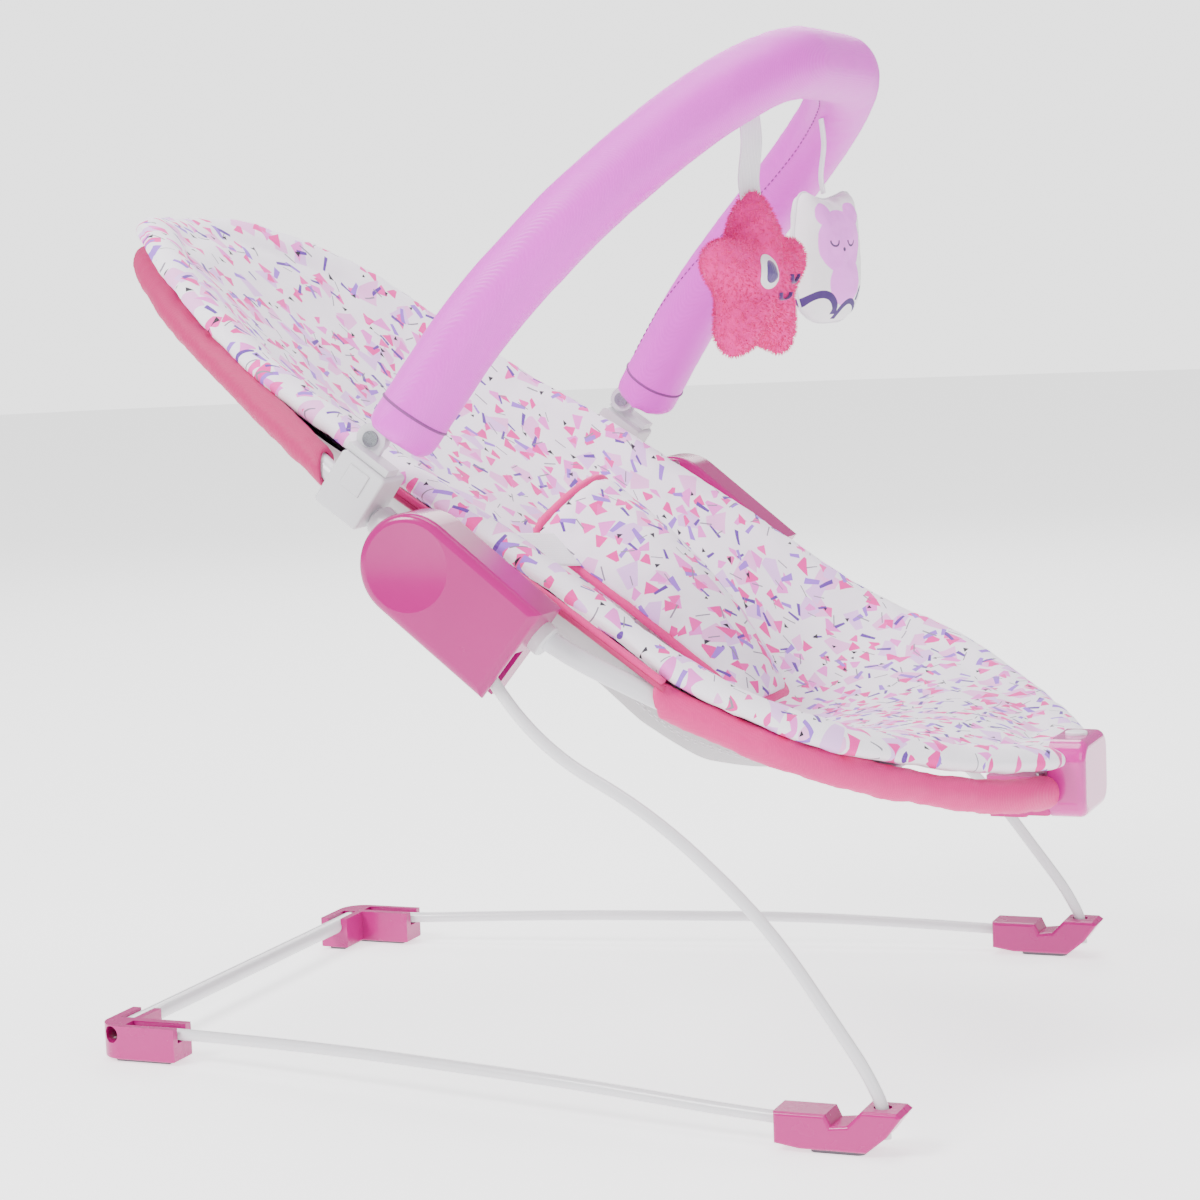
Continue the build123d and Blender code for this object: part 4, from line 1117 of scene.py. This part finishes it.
@dataclass
class SeatPad:
    """One-piece printed cushion: puffy rolled border, stitched line, sagging middle."""

    stations: tuple = (
        (-0.3035, 0.000, 0.4975, 0.001), (-0.3025, 0.020, 0.497, 0.002), (-0.298, 0.038, 0.4965, 0.002),
        (-0.289, 0.056, 0.495, 0.003), (-0.270, 0.080, 0.490, 0.010), (-0.243, 0.110, 0.474, 0.022),
        (-0.208, 0.136, 0.449, 0.034),
        (-0.160, 0.154, 0.411, 0.045), (-0.110, 0.164, 0.378, 0.053), (-0.060, 0.172, 0.348, 0.060),
        (-0.010, 0.1745, 0.3155, 0.066), (0.040, 0.176, 0.283, 0.072), (0.075, 0.178, 0.259, 0.076),
        (0.115, 0.182, 0.233, 0.058), (0.165, 0.181, 0.212, 0.032), (0.192, 0.168, 0.200, 0.018),
        (0.216, 0.147, 0.1905, 0.009), (0.240, 0.120, 0.182, 0.006), (0.262, 0.090, 0.1755, 0.005),
        (0.280, 0.058, 0.171, 0.003), (0.289, 0.036, 0.169, 0.002), (0.2925, 0.000, 0.168, 0.001))
    depth: float = 0.014
    thickness: float = 0.012
    border: float = 0.024
    groove: float = 0.031
    groove_depth: float = 0.0026
    rows: int = 120
    columns: int = 63

    def middle(self) -> tuple[np.ndarray, np.ndarray]:
        """The middle surface and its flat-cloth places."""
        track = spline_through(self.stations, self.rows)
        spread = np.sin(np.linspace(-1, 1, self.columns) * math.pi / 2)
        t = np.linspace(0, 1, 200)
        wide = (1 - t) ** 3 + 1.86 * (1 - t) ** 2 * t - 1.86 * (1 - t) * t ** 2 - t ** 3
        deep = 3 * t * (1 - t)
        grid = np.zeros((self.rows, self.columns, 3))
        for i, (x, half, edge, sag) in enumerate(track):
            half = max(half, 1e-5)
            inner = half - self.border * min(1.0, half / 0.06)
            y = half * spread
            share = np.interp(y / max(inner, 1e-6), wide[::-1], deep[::-1])
            share[np.abs(y) > inner] = 0.0
            low = (2 * sag + self.thickness - self.depth) / 2 / 0.75
            grid[i] = np.stack([np.full_like(y, x), y, edge + self.depth / 2 - low * share], axis=1)
        grid = smooth_rows(grid, 10)
        along = np.concatenate([[0], np.cumsum(np.hypot(np.diff(track[:, 0]), np.diff(track[:, 2])))])
        steps = np.linalg.norm(np.diff(grid, axis=1), axis=2)
        across = np.concatenate([np.zeros((self.rows, 1)), np.cumsum(steps, axis=1)], axis=1)
        across -= across[:, self.columns // 2:self.columns // 2 + 1]
        return grid, np.stack([across, np.repeat(along[:, None], self.columns, 1)], axis=2)

    def build(self) -> list[bpy.types.Object]:
        """The cushion and its sewn line."""
        grid, cloth = self.middle()
        rim = np.vstack([grid[:, 0], grid[::-1, -1]])
        dense = np.vstack([spline_through(grid[:, 0], 900), spline_through(grid[:, -1], 900)])
        far = distances_to(dense, grid.reshape(-1, 3)).reshape(grid.shape[:2])
        rolled = np.sqrt(np.maximum(0.0, 1 - (1 - np.minimum(far / 0.013, 1)) ** 2))
        thick = 0.0076 * rolled - self.groove_depth * np.exp(-((far - self.groove) / 0.006) ** 2)
        thick = np.where(far > self.groove, np.maximum(thick - 0.0012, 0.003), thick)
        thick[:, [0, -1]] = 0.0
        thick[[0, -1]] = 0.0
        pad = quilt("seat_cushion", grid, np.maximum(thick, 0.0), (0, 0, 1), cloth)
        places, out = coordinates(pad), normals(pad)
        far = distances_to(dense, places)
        held = np.clip(np.exp(-((far - self.groove) / 0.005) ** 2) + (out[:,
                                                                          2] < 0) * 0.9 + 0.45 * (far > 0.04),
                                                                          0, 1)
        stuff(pad, 3.0, 0.004, held, 16)
        bake_steps(pad, ("SUBSURF", {"levels": 1, "render_levels": 1}))
        places = coordinates(pad)
        far = distances_to(dense, places)
        rumple(pad, 0.0011, 0.030, 3.0, np.where(far < self.groove, 1.0, 0.55))
        rumple(pad, 0.0016, 0.085, 11.0, np.clip((far - 0.02) / 0.03, 0, 1))
        settle(pad, Finish.PRINT, "seat", "seat_pad")
        log.info("seat cushion: %d vertices, rim %.2f m", len(pad.data.vertices),
                 float(np.linalg.norm(np.diff(rim, axis=0), axis=1).sum()))
        return [pad]


@dataclass
class Sling:
    """The grey cloth under the seat, with its tube pockets sewn by twin rows."""

    stations: tuple = (
        (-0.266, 0.074, 0.482, 0.468), (-0.255, 0.090, 0.476, 0.449), (-0.208, 0.130, 0.4445, 0.409),
        (-0.160, 0.149, 0.4075, 0.361), (-0.105, 0.163, 0.3725, 0.317), (-0.060, 0.1695, 0.347, 0.2835),
        (0.040, 0.172, 0.281, 0.206), (0.062, 0.172, 0.266, 0.185), (0.092, 0.1715, 0.2365, 0.172),
        (0.115, 0.1735, 0.2225, 0.171), (0.165, 0.172, 0.2015, 0.1735), (0.192, 0.158, 0.1895, 0.171),
        (0.203, 0.148, 0.1850, 0.1765))
    rows: int = 96
    columns: int = 57
    cloth: float = 0.0012
    pocket_rows: tuple = (0.024, 0.029)

    def surface(self) -> np.ndarray:
        """The outside of the cloth as a grid of points."""
        track = spline_through(self.stations, self.rows)
        t = np.linspace(0, 1, self.columns)
        wide = (1 - t) ** 3 + 2.4 * (1 - t) ** 2 * t - 2.4 * (1 - t) * t ** 2 - t ** 3
        grid = np.zeros((self.rows, self.columns, 3))
        for i, (x, half, top, lowest) in enumerate(track):
            grid[i] = np.stack([np.full_like(t, x), half * wide,
                                top - (top - lowest) / 0.75 * 3 * t * (1 - t)], axis=1)
        return grid

    def build(self) -> list[bpy.types.Object]:
        """The cloth and its sewing."""
        grid = self.surface()
        piece = new_piece("seat_sling_cloth", grid.reshape(-1, 3), shell(grid))
        lowest = min(piece.data.polygons, key=lambda p: p.center.z)
        if lowest.normal.z > 0:
            piece.data.flip_normals()
        steps = np.concatenate([np.zeros((self.rows, 1)),
                                np.cumsum(np.linalg.norm(np.diff(grid, axis=1), axis=2), axis=1)], axis=1)
        along = np.concatenate([[0],
                                np.cumsum(np.linalg.norm(np.diff(grid[:, self.columns // 2], axis=0),
                                                         axis=1))])
        tree = KDTree(self.rows * self.columns)
        for i, p in enumerate(grid.reshape(-1, 3)):
            tree.insert(p, i)
        tree.balance()

        def rule(p: Vector) -> tuple[float, float]:
            """Place on the flat cloth of a point."""
            row, column = divmod(tree.find(p)[1], self.columns)
            return float(steps[row, column]), float(along[row])

        map_cloth(piece, rule)
        bake_steps(piece, ("SOLIDIFY", {"thickness": self.cloth, "offset": -1.0}),
                   ("SUBSURF", {"levels": 1, "render_levels": 1}))
        rumple(piece, 0.0010, 0.050, 21.0)
        settle(piece, Finish.SLING, "seat", "seat_sling")
        lines = []
        out = grid_normals(grid, (0, 0, -1))
        for offset in self.pocket_rows:
            for side in (1, -1):
                line = []
                for r in range(4, self.rows - 3):
                    run = steps[r] if side > 0 else steps[r, -1] - steps[r]
                    order = slice(None) if side > 0 else slice(None, None, -1)
                    point = [np.interp(offset, run[order], grid[r, order, k]) for k in range(3)]
                    normal = [np.interp(offset, run[order], out[r, order, k]) for k in range(3)]
                    line.append(np.array(point) + np.array(normal) * 0.0012)
                lines.append(np.array(line))
        seam = stitch_run("sling_stitches", lines, Finish.THREAD, 0.0034, 0.0016, 0.0004)
        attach(seam, "seat")
        return [piece, seam]


@dataclass
class EdgePockets:
    """The pink cloth round the hoops at the head and the foot, and the side piping."""

    voxel: float = 0.0034
    piping: tuple = ((-0.084, -0.172, 0.3636), (-0.060, -0.1762, 0.348), (-0.010, -0.1787, 0.3155),
                     (0.040, -0.1802, 0.283), (0.075, -0.1822, 0.259), (0.104, -0.1848, 0.2395))
    piping_radius: float = 0.0021

    def pocket(self, node: str, name: str, finish: Finish, seed: float
               ) -> bpy.types.Object:
        """One tube pocket of stretched cloth.

        Args:
            node: the CAD node it replaces.
            name: the piece's name.
            finish: its cloth.
            seed: shifts its puckers.

        Returns:
            The piece.
        """
        piece = soft_copy(node, name, self.voxel, 5)
        rumple(piece, 0.0009, 0.022, seed)
        settle(piece, finish, "seat", node)
        return piece

    def build(self) -> list[bpy.types.Object]:
        """Both pockets and the piping."""
        pieces = [
            self.pocket("back_edge_wrap", "head_pocket", Finish.DEEP_PINK,
                        5.0),
            self.pocket("foot_edge_wrap", "foot_pocket", Finish.BRIGHT_PINK,
                        9.0)]
        upper_lower = []
        for side, label in ((1, "right"), (-1, "left")):
            for lift, finish, part in ((0.0016, Finish.BRIGHT_PINK, "upper"),
                                       (-0.0022, Finish.DEEP_PINK, "lower")):
                line = spline_through([(x, side * y, z + lift) for x, y, z in self.piping], 70)
                cord = tube(f"piping_{part}_{label}", line, self.piping_radius)
                settle(cord, finish, "seat")
                upper_lower.append(cord)
        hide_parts("side_piping")
        log.info("edge pockets: %d pieces", len(pieces) + len(upper_lower))
        return pieces + upper_lower


@dataclass
class CrotchPad:
    """The arched tongue between the legs, bound in pink, with its waist webbing."""

    stations: tuple = ((0.1060, 0.2060, 0.038, 0.004), (0.0900, 0.2450, 0.042, 0.020),
                       (0.0490, 0.2965, 0.045, 0.034),
                       (-0.0040, 0.3410, 0.046, 0.038))
    thickness: float = 0.007
    rows: int = 44
    columns: int = 33
    binding: float = 0.0028
    strap: tuple = ((0.010, -0.004, 0.2905), (0.000, -0.030, 0.2975), (-0.014, -0.058, 0.3010),
                    (-0.026, -0.086, 0.3035))
    strap_width: float = 0.025

    def middle(self) -> tuple[np.ndarray, np.ndarray]:
        """The middle surface and its flat-cloth places."""
        track = spline_through(self.stations, self.rows)
        ahead = np.gradient(track[:, :2], axis=0)
        ahead /= np.linalg.norm(ahead, axis=1, keepdims=True)
        grid = np.zeros((self.rows, self.columns, 3))
        for i, ((x, z, half, rise), (ax, az)) in enumerate(zip(track, ahead)):
            down = np.array([-az, 0.0, ax])
            radius = (half ** 2 + rise ** 2) / (2 * rise)
            limit = math.asin(min(1.0, half / radius))
            if rise > half:
                limit = math.pi - limit
            for j, a in enumerate(np.linspace(-limit, limit, self.columns)):
                drop = radius * (1 - math.cos(a)) + self.thickness / 2
                grid[i, j] = np.array([x, radius * math.sin(a), z]) + down * drop
        grid = smooth_rows(grid, 2)
        across = np.concatenate([np.zeros((self.rows, 1)),
                                 np.cumsum(np.linalg.norm(np.diff(grid, axis=1), axis=2), axis=1)], axis=1)
        along = np.concatenate([[0],
                                np.cumsum(np.linalg.norm(np.diff(grid[:, self.columns // 2], axis=0),
                                                         axis=1))])
        return grid, np.stack([across + 0.31, np.repeat(along[:, None], self.columns, 1) + 0.17], axis=2)

    def build(self) -> list[bpy.types.Object]:
        """Tongue, lining, binding and webbing."""
        grid, cloth = self.middle()
        outline = np.vstack([grid[:, 0], grid[-1, 1:-1], grid[::-1, -1], grid[0, -2:0:-1]])
        far = distances_to(np.vstack([outline, (outline + np.roll(outline, 1, 0)) / 2]),
                           grid.reshape(-1, 3)).reshape(grid.shape[:2])
        thick = 0.0036 * np.sqrt(np.maximum(0.0, 1 - (1 - np.minimum(far / 0.007, 1)) ** 2))
        tongue = quilt("crotch_tongue", grid, thick, (1, 0, 1), cloth, 1.0)
        held = (distances_to(outline, coordinates(tongue)) < 0.004).astype(float)
        stuff(tongue, 3.0, 0.0025, held, 14)
        bake_steps(tongue, ("SUBSURF", {"levels": 1, "render_levels": 1}))
        rumple(tongue, 0.0008, 0.020, 31.0)
        Finish.PRINT.dress(tongue)
        tongue.data.materials.append(Finish.LINING.material())
        axis_x, axis_z = 0.045, 0.225
        for polygon in tongue.data.polygons:
            c, n = polygon.center, polygon.normal
            inward = Vector((axis_x - c.x - 0.05, -c.y, axis_z - c.z))
            polygon.material_index = 1 if n.dot(Vector((-0.80, 0,
                                                        -0.60)) * 0.7 + inward.normalized()) > 0.5 else 0
        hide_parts("crotch_pad")
        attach(tongue, "seat")
        loop = spline_through([tuple(p) for p in np.vstack([outline[::3], outline[:1]])], 220)[:-1]
        binding = tube("tongue_binding", loop, self.binding, 10, True)
        settle(binding, Finish.BINDING, "seat")
        pieces = [tongue, binding]
        for side, label in ((1, "right"), (-1, "left")):
            line = spline_through([(x, side * y, z) for x, y, z in self.strap], 30)
            strap = band(f"waist_webbing_{label}", line, (0.66, 0, -0.72), self.strap_width, 0.0017)
            settle(strap, Finish.WEBBING, "seat", f"waist_strap_{label}")
            pieces.append(strap)
        log.info("crotch pad: %d pieces", len(pieces))
        return pieces


@dataclass
class ToyBar:
    """The padded arch with its sleeve, seams and end fittings."""

    route: tuple = ((-0.041, -0.1885, 0.3855), (0.0, -0.1765, 0.445), (0.062, -0.158, 0.508),
                    (0.112, -0.122, 0.553),
                    (0.144, -0.066, 0.580))
    sleeve_radius: float = 0.021
    end_reach: float = 0.013
    end_zone: float = 0.050
    seam_inset: float = 0.006

    def build(self) -> list[bpy.types.Object]:
        """Sleeve, seam rings, underside seam and fittings."""
        sleeve = soft_copy("toy_bar_sleeve", "toy_bar_padding", 0.0042, 6)
        bake_steps(sleeve, ("SUBSURF", {"levels": 1, "render_levels": 1}))
        places = coordinates(sleeve)
        for side in (1, -1):
            a, b = (np.array((x, side * y, z)) for x, y, z in self.route[:2])
            along = (b - a) / np.linalg.norm(b - a)
            ahead = np.maximum((places - a) @ along, 0.0)
            near = (places[:, 1] * side < -0.10) & (places[:, 2] < 0.47)
            share = np.where(near, np.clip(1 - ahead / self.end_zone, 0, 1), 0.0)
            places -= along * (self.end_reach * share)[:, None]
        move_to(sleeve, places)
        rumple(sleeve, 0.0004, 0.040, 41.0)
        settle(sleeve, Finish.SLEEVE, "toy_bar", "toy_bar_sleeve")
        pieces = [sleeve]
        tree = skin_tree(sleeve)
        for side, label in ((1, "right"), (-1, "left")):
            a, b = (Vector((x, side * y, z)) for x, y, z in self.route[:2])
            along = (b - a).normalized()
            centre = a + along * self.seam_inset
            u = along.orthogonal().normalized()
            v = along.cross(u)
            ring = []
            for angle in np.linspace(0, 2 * math.pi, 60, endpoint=False):
                ray = u * math.cos(angle) + v * math.sin(angle)
                hit = tree.ray_cast(centre + ray * 0.04, -ray)[0]
                ring.append(tuple((hit or centre + ray * self.sleeve_radius) - ray * 0.0001))
            seam = tube(f"sleeve_seam_{label}", np.array(ring), 0.0009, 8, True, up=along)
            settle(seam, Finish.SEAM, "toy_bar")
            pieces.append(seam)
        arch = spline_through(mirrored(self.route), 160)
        under = []
        for p, d in zip(arch[4:-4], np.gradient(arch, axis=0)[4:-4]):
            along = Vector(d).normalized()
            down = (Vector((-0.75, 0, -0.65)) - along * Vector((-0.75, 0, -0.65)).dot(along)).normalized()
            hit = tree.ray_cast(Vector(p) + down * 0.05, -down)[0]
            if hit is not None:
                under.append(tuple(hit + down * 0.0003))
        closing = stitch_run("sleeve_closing_seam", [np.array(under)], Finish.SEAM, 0.0030, 0.0014, 0.0004)
        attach(closing, "toy_bar")
        nodes = {Finish.TUBE: ("toy_bar_core",), Finish.GREY: (
            "bar_end_right", "bar_end_left", "toy_bar_bracket_right", "toy_bar_bracket_left",
            "bracket_button_right", "bracket_button_left"), Finish.PIN: ("bar_rivet_right", "bar_rivet_left")}
        dress_nodes(nodes)
        log.info("toy bar: %d pieces", len(pieces) + 1)
        return pieces + [closing]


@dataclass
class HangingToys:
    """The plush star and the printed bear pillow, each on its short ribbon."""

    star_facing: Point = (0.974, -0.225, 0.0)
    bear_facing: Point = (0.927, -0.375, 0.0)
    pile_density: float = 420000.0
    pile_length: float = 0.0022
    star_reach: float = 0.051
    star_notch: float = 0.0335
    star_half: float = 0.021
    bear_half: tuple = (0.0300, 0.0395)
    bear_ear: float = 0.0060
    bear_thick: float = 0.0155

    def ribbon(self, node: str, name: str, body: str, across: Point, width: float,
               foot: Point) -> bpy.types.Object:
        """A short ribbed ribbon from the bar to a toy.

        Args:
            node: the CAD node it replaces.
            name: the piece's name.
            body: the body it rides on.
            across: the direction of its width.
            width: full width.
            foot: where it meets the toy.

        Returns:
            The piece.
        """
        low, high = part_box(node)
        centre = (low + high) / 2
        top = Vector((centre.x, centre.y, high.z + 0.009))
        line = spline_through([tuple(top), tuple(top.lerp(Vector(foot), 0.35) + Vector((0.0012, 0, 0))),
                               tuple(top.lerp(Vector(foot), 0.75) - Vector((0.0012, 0, 0))), foot], 26)
        piece = band(name, line, across, width, 0.0016)
        settle(piece, Finish.RIBBON, body, node)
        return piece

    def star(self) -> list[bpy.types.Object]:
        """The star, its pile and embroidered face."""
        facing = Vector(self.star_facing).normalized()
        low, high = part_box("star_toy")
        centre = (low + high) / 2

        def outline(a: float) -> float:
            """Radius of the five-armed outline at an angle."""
            arm = (1 + math.cos(5 * (a - math.pi / 2))) / 2
            return self.star_notch + (self.star_reach - self.star_notch) * arm ** 1.25

        star = stuffed_form("plush_star", centre - Vector((0, 0, 0.003)), facing, outline, self.star_half)
        bake_steps(star, ("REMESH", {"mode": "VOXEL", "voxel_size": 0.0028, "use_smooth_shade": True}),
                   ("SMOOTH", {"factor": 0.5, "iterations": 4}))
        stuff(star, 2.5, 0.003, None, 14)
        bake_steps(star, ("SMOOTH", {"factor": 0.5, "iterations": 3}))
        rumple(star, 0.0009, 0.014, 51.0)
        settle(star, Finish.PLUSH, "star", "star_toy")
        side = Vector((0, 0, 1)).cross(facing).normalized()
        marks = []
        for name, finish, shift, lift, half, hollow, arc in (
                ("star_eye_white", Finish.THREAD, -0.012, 0.002, (0.0078, 0.0098), 0.0, (0, 2 * math.pi)),
                ("star_eye", Finish.EYE, -0.012, 0.002, (0.0058, 0.0078), 0.0, (0, 2 * math.pi)),
                ("star_wink", Finish.EYE, 0.014, 0.000, (0.0066, 0.0056), 0.80, (math.pi, 2 * math.pi)),
                ("star_smile", Finish.EYE, 0.001, -0.010, (0.0056, 0.0046), 0.80, (math.pi, 2 * math.pi))):
            spot = centre + side * shift + Vector((0, 0, lift))
            mark = badge(name, star, spot, facing, half, 0.0026 if name != "star_eye_white" else 0.0018,
                         hollow, arc)
            settle(mark, finish, "star")
            marks.append(mark)
        tufts = pile("star_pile", star, Finish.PLUSH, self.pile_density,
                     self.pile_length, 7, marks)
        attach(tufts, "star")
        return [star, tufts] + marks

    def bear(self) -> list[bpy.types.Object]:
        """The printed bear pillow and its edge seam."""
        facing = Vector(self.bear_facing).normalized()
        low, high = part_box("bear_toy")
        centre = (low + high) / 2
        wide, tall = self.bear_half

        def outline(a: float) -> float:
            """Radius of the pillow's outline, with two small ears, at an angle."""
            body = ((abs(math.cos(a)) / wide) ** 3.0 + (abs(math.sin(a)) / tall) ** 3.0) ** (-1 / 3.0)
            ears = sum(math.exp(-((a - t) / 0.20) ** 2) for t in (1.03, 2.11))
            return body + self.bear_ear * ears - 0.0025 * math.exp(-((a - math.pi / 2) / 0.3) ** 2)

        bear = stuffed_form("bear_pillow", centre, facing, outline, self.bear_thick, 3.0)
        bake_steps(bear, ("REMESH", {"mode": "VOXEL", "voxel_size": 0.0026, "use_smooth_shade": True}),
                   ("SMOOTH", {"factor": 0.5, "iterations": 3}))
        stuff(bear, 3.0, 0.004, None, 14)
        bake_steps(bear, ("SUBSURF", {"levels": 1, "render_levels": 1}))
        rumple(bear, 0.0007, 0.016, 61.0)
        side = Vector((0, 0, 1)).cross(facing).normalized()
        map_cloth(bear, lambda p: (float((p - centre).dot(side)), float(p.z - centre.z)))
        settle(bear, Finish.BEAR, "bear", "bear_toy")
        seam = tube("bear_edge_seam", seam_loop(bear, centre, facing, 160, 0.0002), 0.0008, 8, True,
                    up=facing)
        settle(seam, Finish.THREAD, "bear")
        return [bear, seam]

    def build(self) -> list[bpy.types.Object]:
        """Both toys and their ribbons."""
        pieces = self.star() + self.bear()
        low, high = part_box("star_toy")
        pieces.append(self.ribbon("star_strap", "star_ribbon_band", "star_ribbon", (0.48, 0.87, 0), 0.016,
                                  ((low.x + high.x) / 2, (low.y + high.y) / 2, high.z - 0.001)))
        low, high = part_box("bear_toy")
        pieces.append(self.ribbon("bear_strap", "bear_ribbon_band", "bear_ribbon", (0.48, -0.87, 0), 0.011,
                                  ((low.x + high.x) / 2, (low.y + high.y) / 2, high.z - 0.001)))
        log.info("hanging toys: %d pieces", len(pieces))
        return pieces


def dress_nodes(nodes: dict) -> None:
    """Give CAD nodes their finishes.

    Args:
        nodes: node names under each finish.
    """
    for finish, names in nodes.items():
        for name in names:
            finish.dress(bpy.data.objects[name])


@dataclass
class Frame:
    """Floor frame, legs, feet and hubs, carried over from the CAD."""

    sides: tuple = ("right", "left")

    def build(self) -> list[bpy.types.Object]:
        """Dress the carried-over nodes."""
        nodes = {
            Finish.ROD: ["rear_bar"] + [f"{p}_{s}" for p in ("rail_wire", "leg_wire") for s in self.sides],
            Finish.FOOT: [f"{p}_{s}" for p in ("rear_foot", "front_foot") for s in self.sides],
            Finish.RUBBER: [f"{p}_{s}" for p in ("rear_foot_pad", "front_foot_pad") for s in self.sides],
            Finish.HUB: [f"{p}_{s}" for p in ("hub_cover", "hub_base") for s in self.sides],
            Finish.GREY: [f"{p}_{s}" for p in ("hub_collar", "hub_socket",
                                               "leg_knuckle") for s in self.sides],
            Finish.PIN: [f"hub_pivot_pin_{s}" for s in self.sides],
            Finish.ZINC: ["hub_screws", "foot_screws"],
            Finish.TUBE: ["back_hoop", "seat_hoop"],
        }
        dress_nodes(nodes)
        log.info("frame: %d nodes dressed", sum(len(v) for v in nodes.values()))
        return []


@dataclass
class VibrationUnit:
    """The clear pink vibration unit at the foot, carried over from the CAD."""

    def build(self) -> list[bpy.types.Object]:
        """Dress the carried-over nodes."""
        dress_nodes({Finish.CLEAR_PINK: ["unit_front_shell"],
                     Finish.UNIT: ["unit_rear_shell", "battery_door"],
                     Finish.BUTTON: ["unit_button"], Finish.CELL: ["battery_cell"],
                     Finish.MOTOR: ["vibration_motor", "motor_weight"], Finish.ZINC: ["unit_screws"]})
        log.info("vibration unit dressed")
        return []


@dataclass
class Studio:
    """Pale floor, soft light and the camera."""

    camera_place: Point = (0.6874, -1.7011, 0.4738)
    azimuth: float = 22.21
    elevation: float = 6.53
    roll: float = -2.19
    lens: float = 90.0
    floor_colour: Colour = (0.70, 0.70, 0.705)
    floor_glow: float = 1.65
    sky: float = 0.45
    backdrop: float = 2.5
    lamps: tuple = field(default_factory=lambda: (
        ("key", (-1.5, -2.0, 2.6), 1.4, 155.0), ("fill", (2.4, -1.6, 1.4), 2.2, 36.0),
        ("top", (0.1, 0.3, 2.9), 2.0, 78.0), ("rim", (-0.8, 2.3, 1.8), 1.8, 42.0)))

    def build(self) -> None:
        """Make the floor, lamps, sky and camera."""
        ring = [(9 * math.cos(a), 9 * math.sin(a), 0) for a in np.linspace(0, 2 * math.pi, 64,
                                                                           endpoint=False)]
        floor = new_piece("studio_floor", np.array(ring + [(0, 0, 0)]),
                          [(i, (i + 1) % 64, 64) for i in range(64)])
        s = Shading("studio_floor")
        shade = s.blend(s.grain(s.place(), 3.0), tuple(0.985 * c for c in self.floor_colour),
                        self.floor_colour)
        s.shader.inputs["Emission Color"].default_value = (1.0, 1.0, 1.0, 1.0)
        s.shader.inputs["Emission Strength"].default_value = self.floor_glow
        floor.data.materials.append(s.finish(shade, 0.6))
        world = bpy.data.worlds.new("studio")
        world.use_nodes = True
        glow = world.node_tree.nodes["Background"]
        glow.inputs[0].default_value = (1.0, 1.0, 1.0, 1.0)
        path = world.node_tree.nodes.new("ShaderNodeLightPath")
        level = world.node_tree.nodes.new("ShaderNodeMapRange")
        level.inputs["To Min"].default_value, level.inputs["To Max"].default_value = self.sky, self.backdrop
        world.node_tree.links.new(path.outputs["Is Camera Ray"], level.inputs["Value"])
        world.node_tree.links.new(level.outputs[0], glow.inputs[1])
        bpy.context.scene.world = world
        for name, place, size, power in self.lamps:
            data = bpy.data.lights.new(name, "AREA")
            data.shape, data.size, data.energy = "DISK", size, power
            lamp = bpy.data.objects.new(name, data)
            lamp.location = place
            lamp.rotation_euler = (Vector((0, 0, 0.25)) - Vector(place)).to_track_quat("-Z", "Y").to_euler()
            bpy.context.scene.collection.objects.link(lamp)
        data = bpy.data.cameras.new("camera")
        data.lens, data.sensor_width = self.lens, 36.0
        camera = bpy.data.objects.new("camera", data)
        a, e, r = (math.radians(v) for v in (self.azimuth, self.elevation, self.roll))
        back = Vector((math.sin(a) * math.cos(e), -math.cos(a) * math.cos(e), math.sin(e)))
        right = Vector((math.cos(a), math.sin(a), 0))
        up = back.cross(right)
        turned = right * math.cos(r) + up * math.sin(r)
        lifted = -right * math.sin(r) + up * math.cos(r)
        camera.matrix_world = Matrix.Translation(self.camera_place) @ Matrix(
            (turned, lifted, back)).transposed().to_4x4()
        bpy.context.scene.collection.objects.link(camera)
        bpy.context.scene.camera = camera
        log.info("studio ready")


def main() -> None:
    """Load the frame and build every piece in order."""
    logging.basicConfig(level=logging.INFO, format="%(name)s: %(message)s")
    for leftover in list(bpy.data.objects):
        bpy.data.objects.remove(leftover)
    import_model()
    bpy.context.view_layer.update()
    Studio().build()
    for assembly in (Frame(), SeatPad(), Sling(), EdgePockets(), CrotchPad(), ToyBar(), HangingToys(),
                     VibrationUnit()):
        for piece in assembly.build():
            log.info("  %s: %d faces", piece.name, len(piece.data.polygons))
    bpy.context.view_layer.update()


if __name__ == "__main__":
    main()
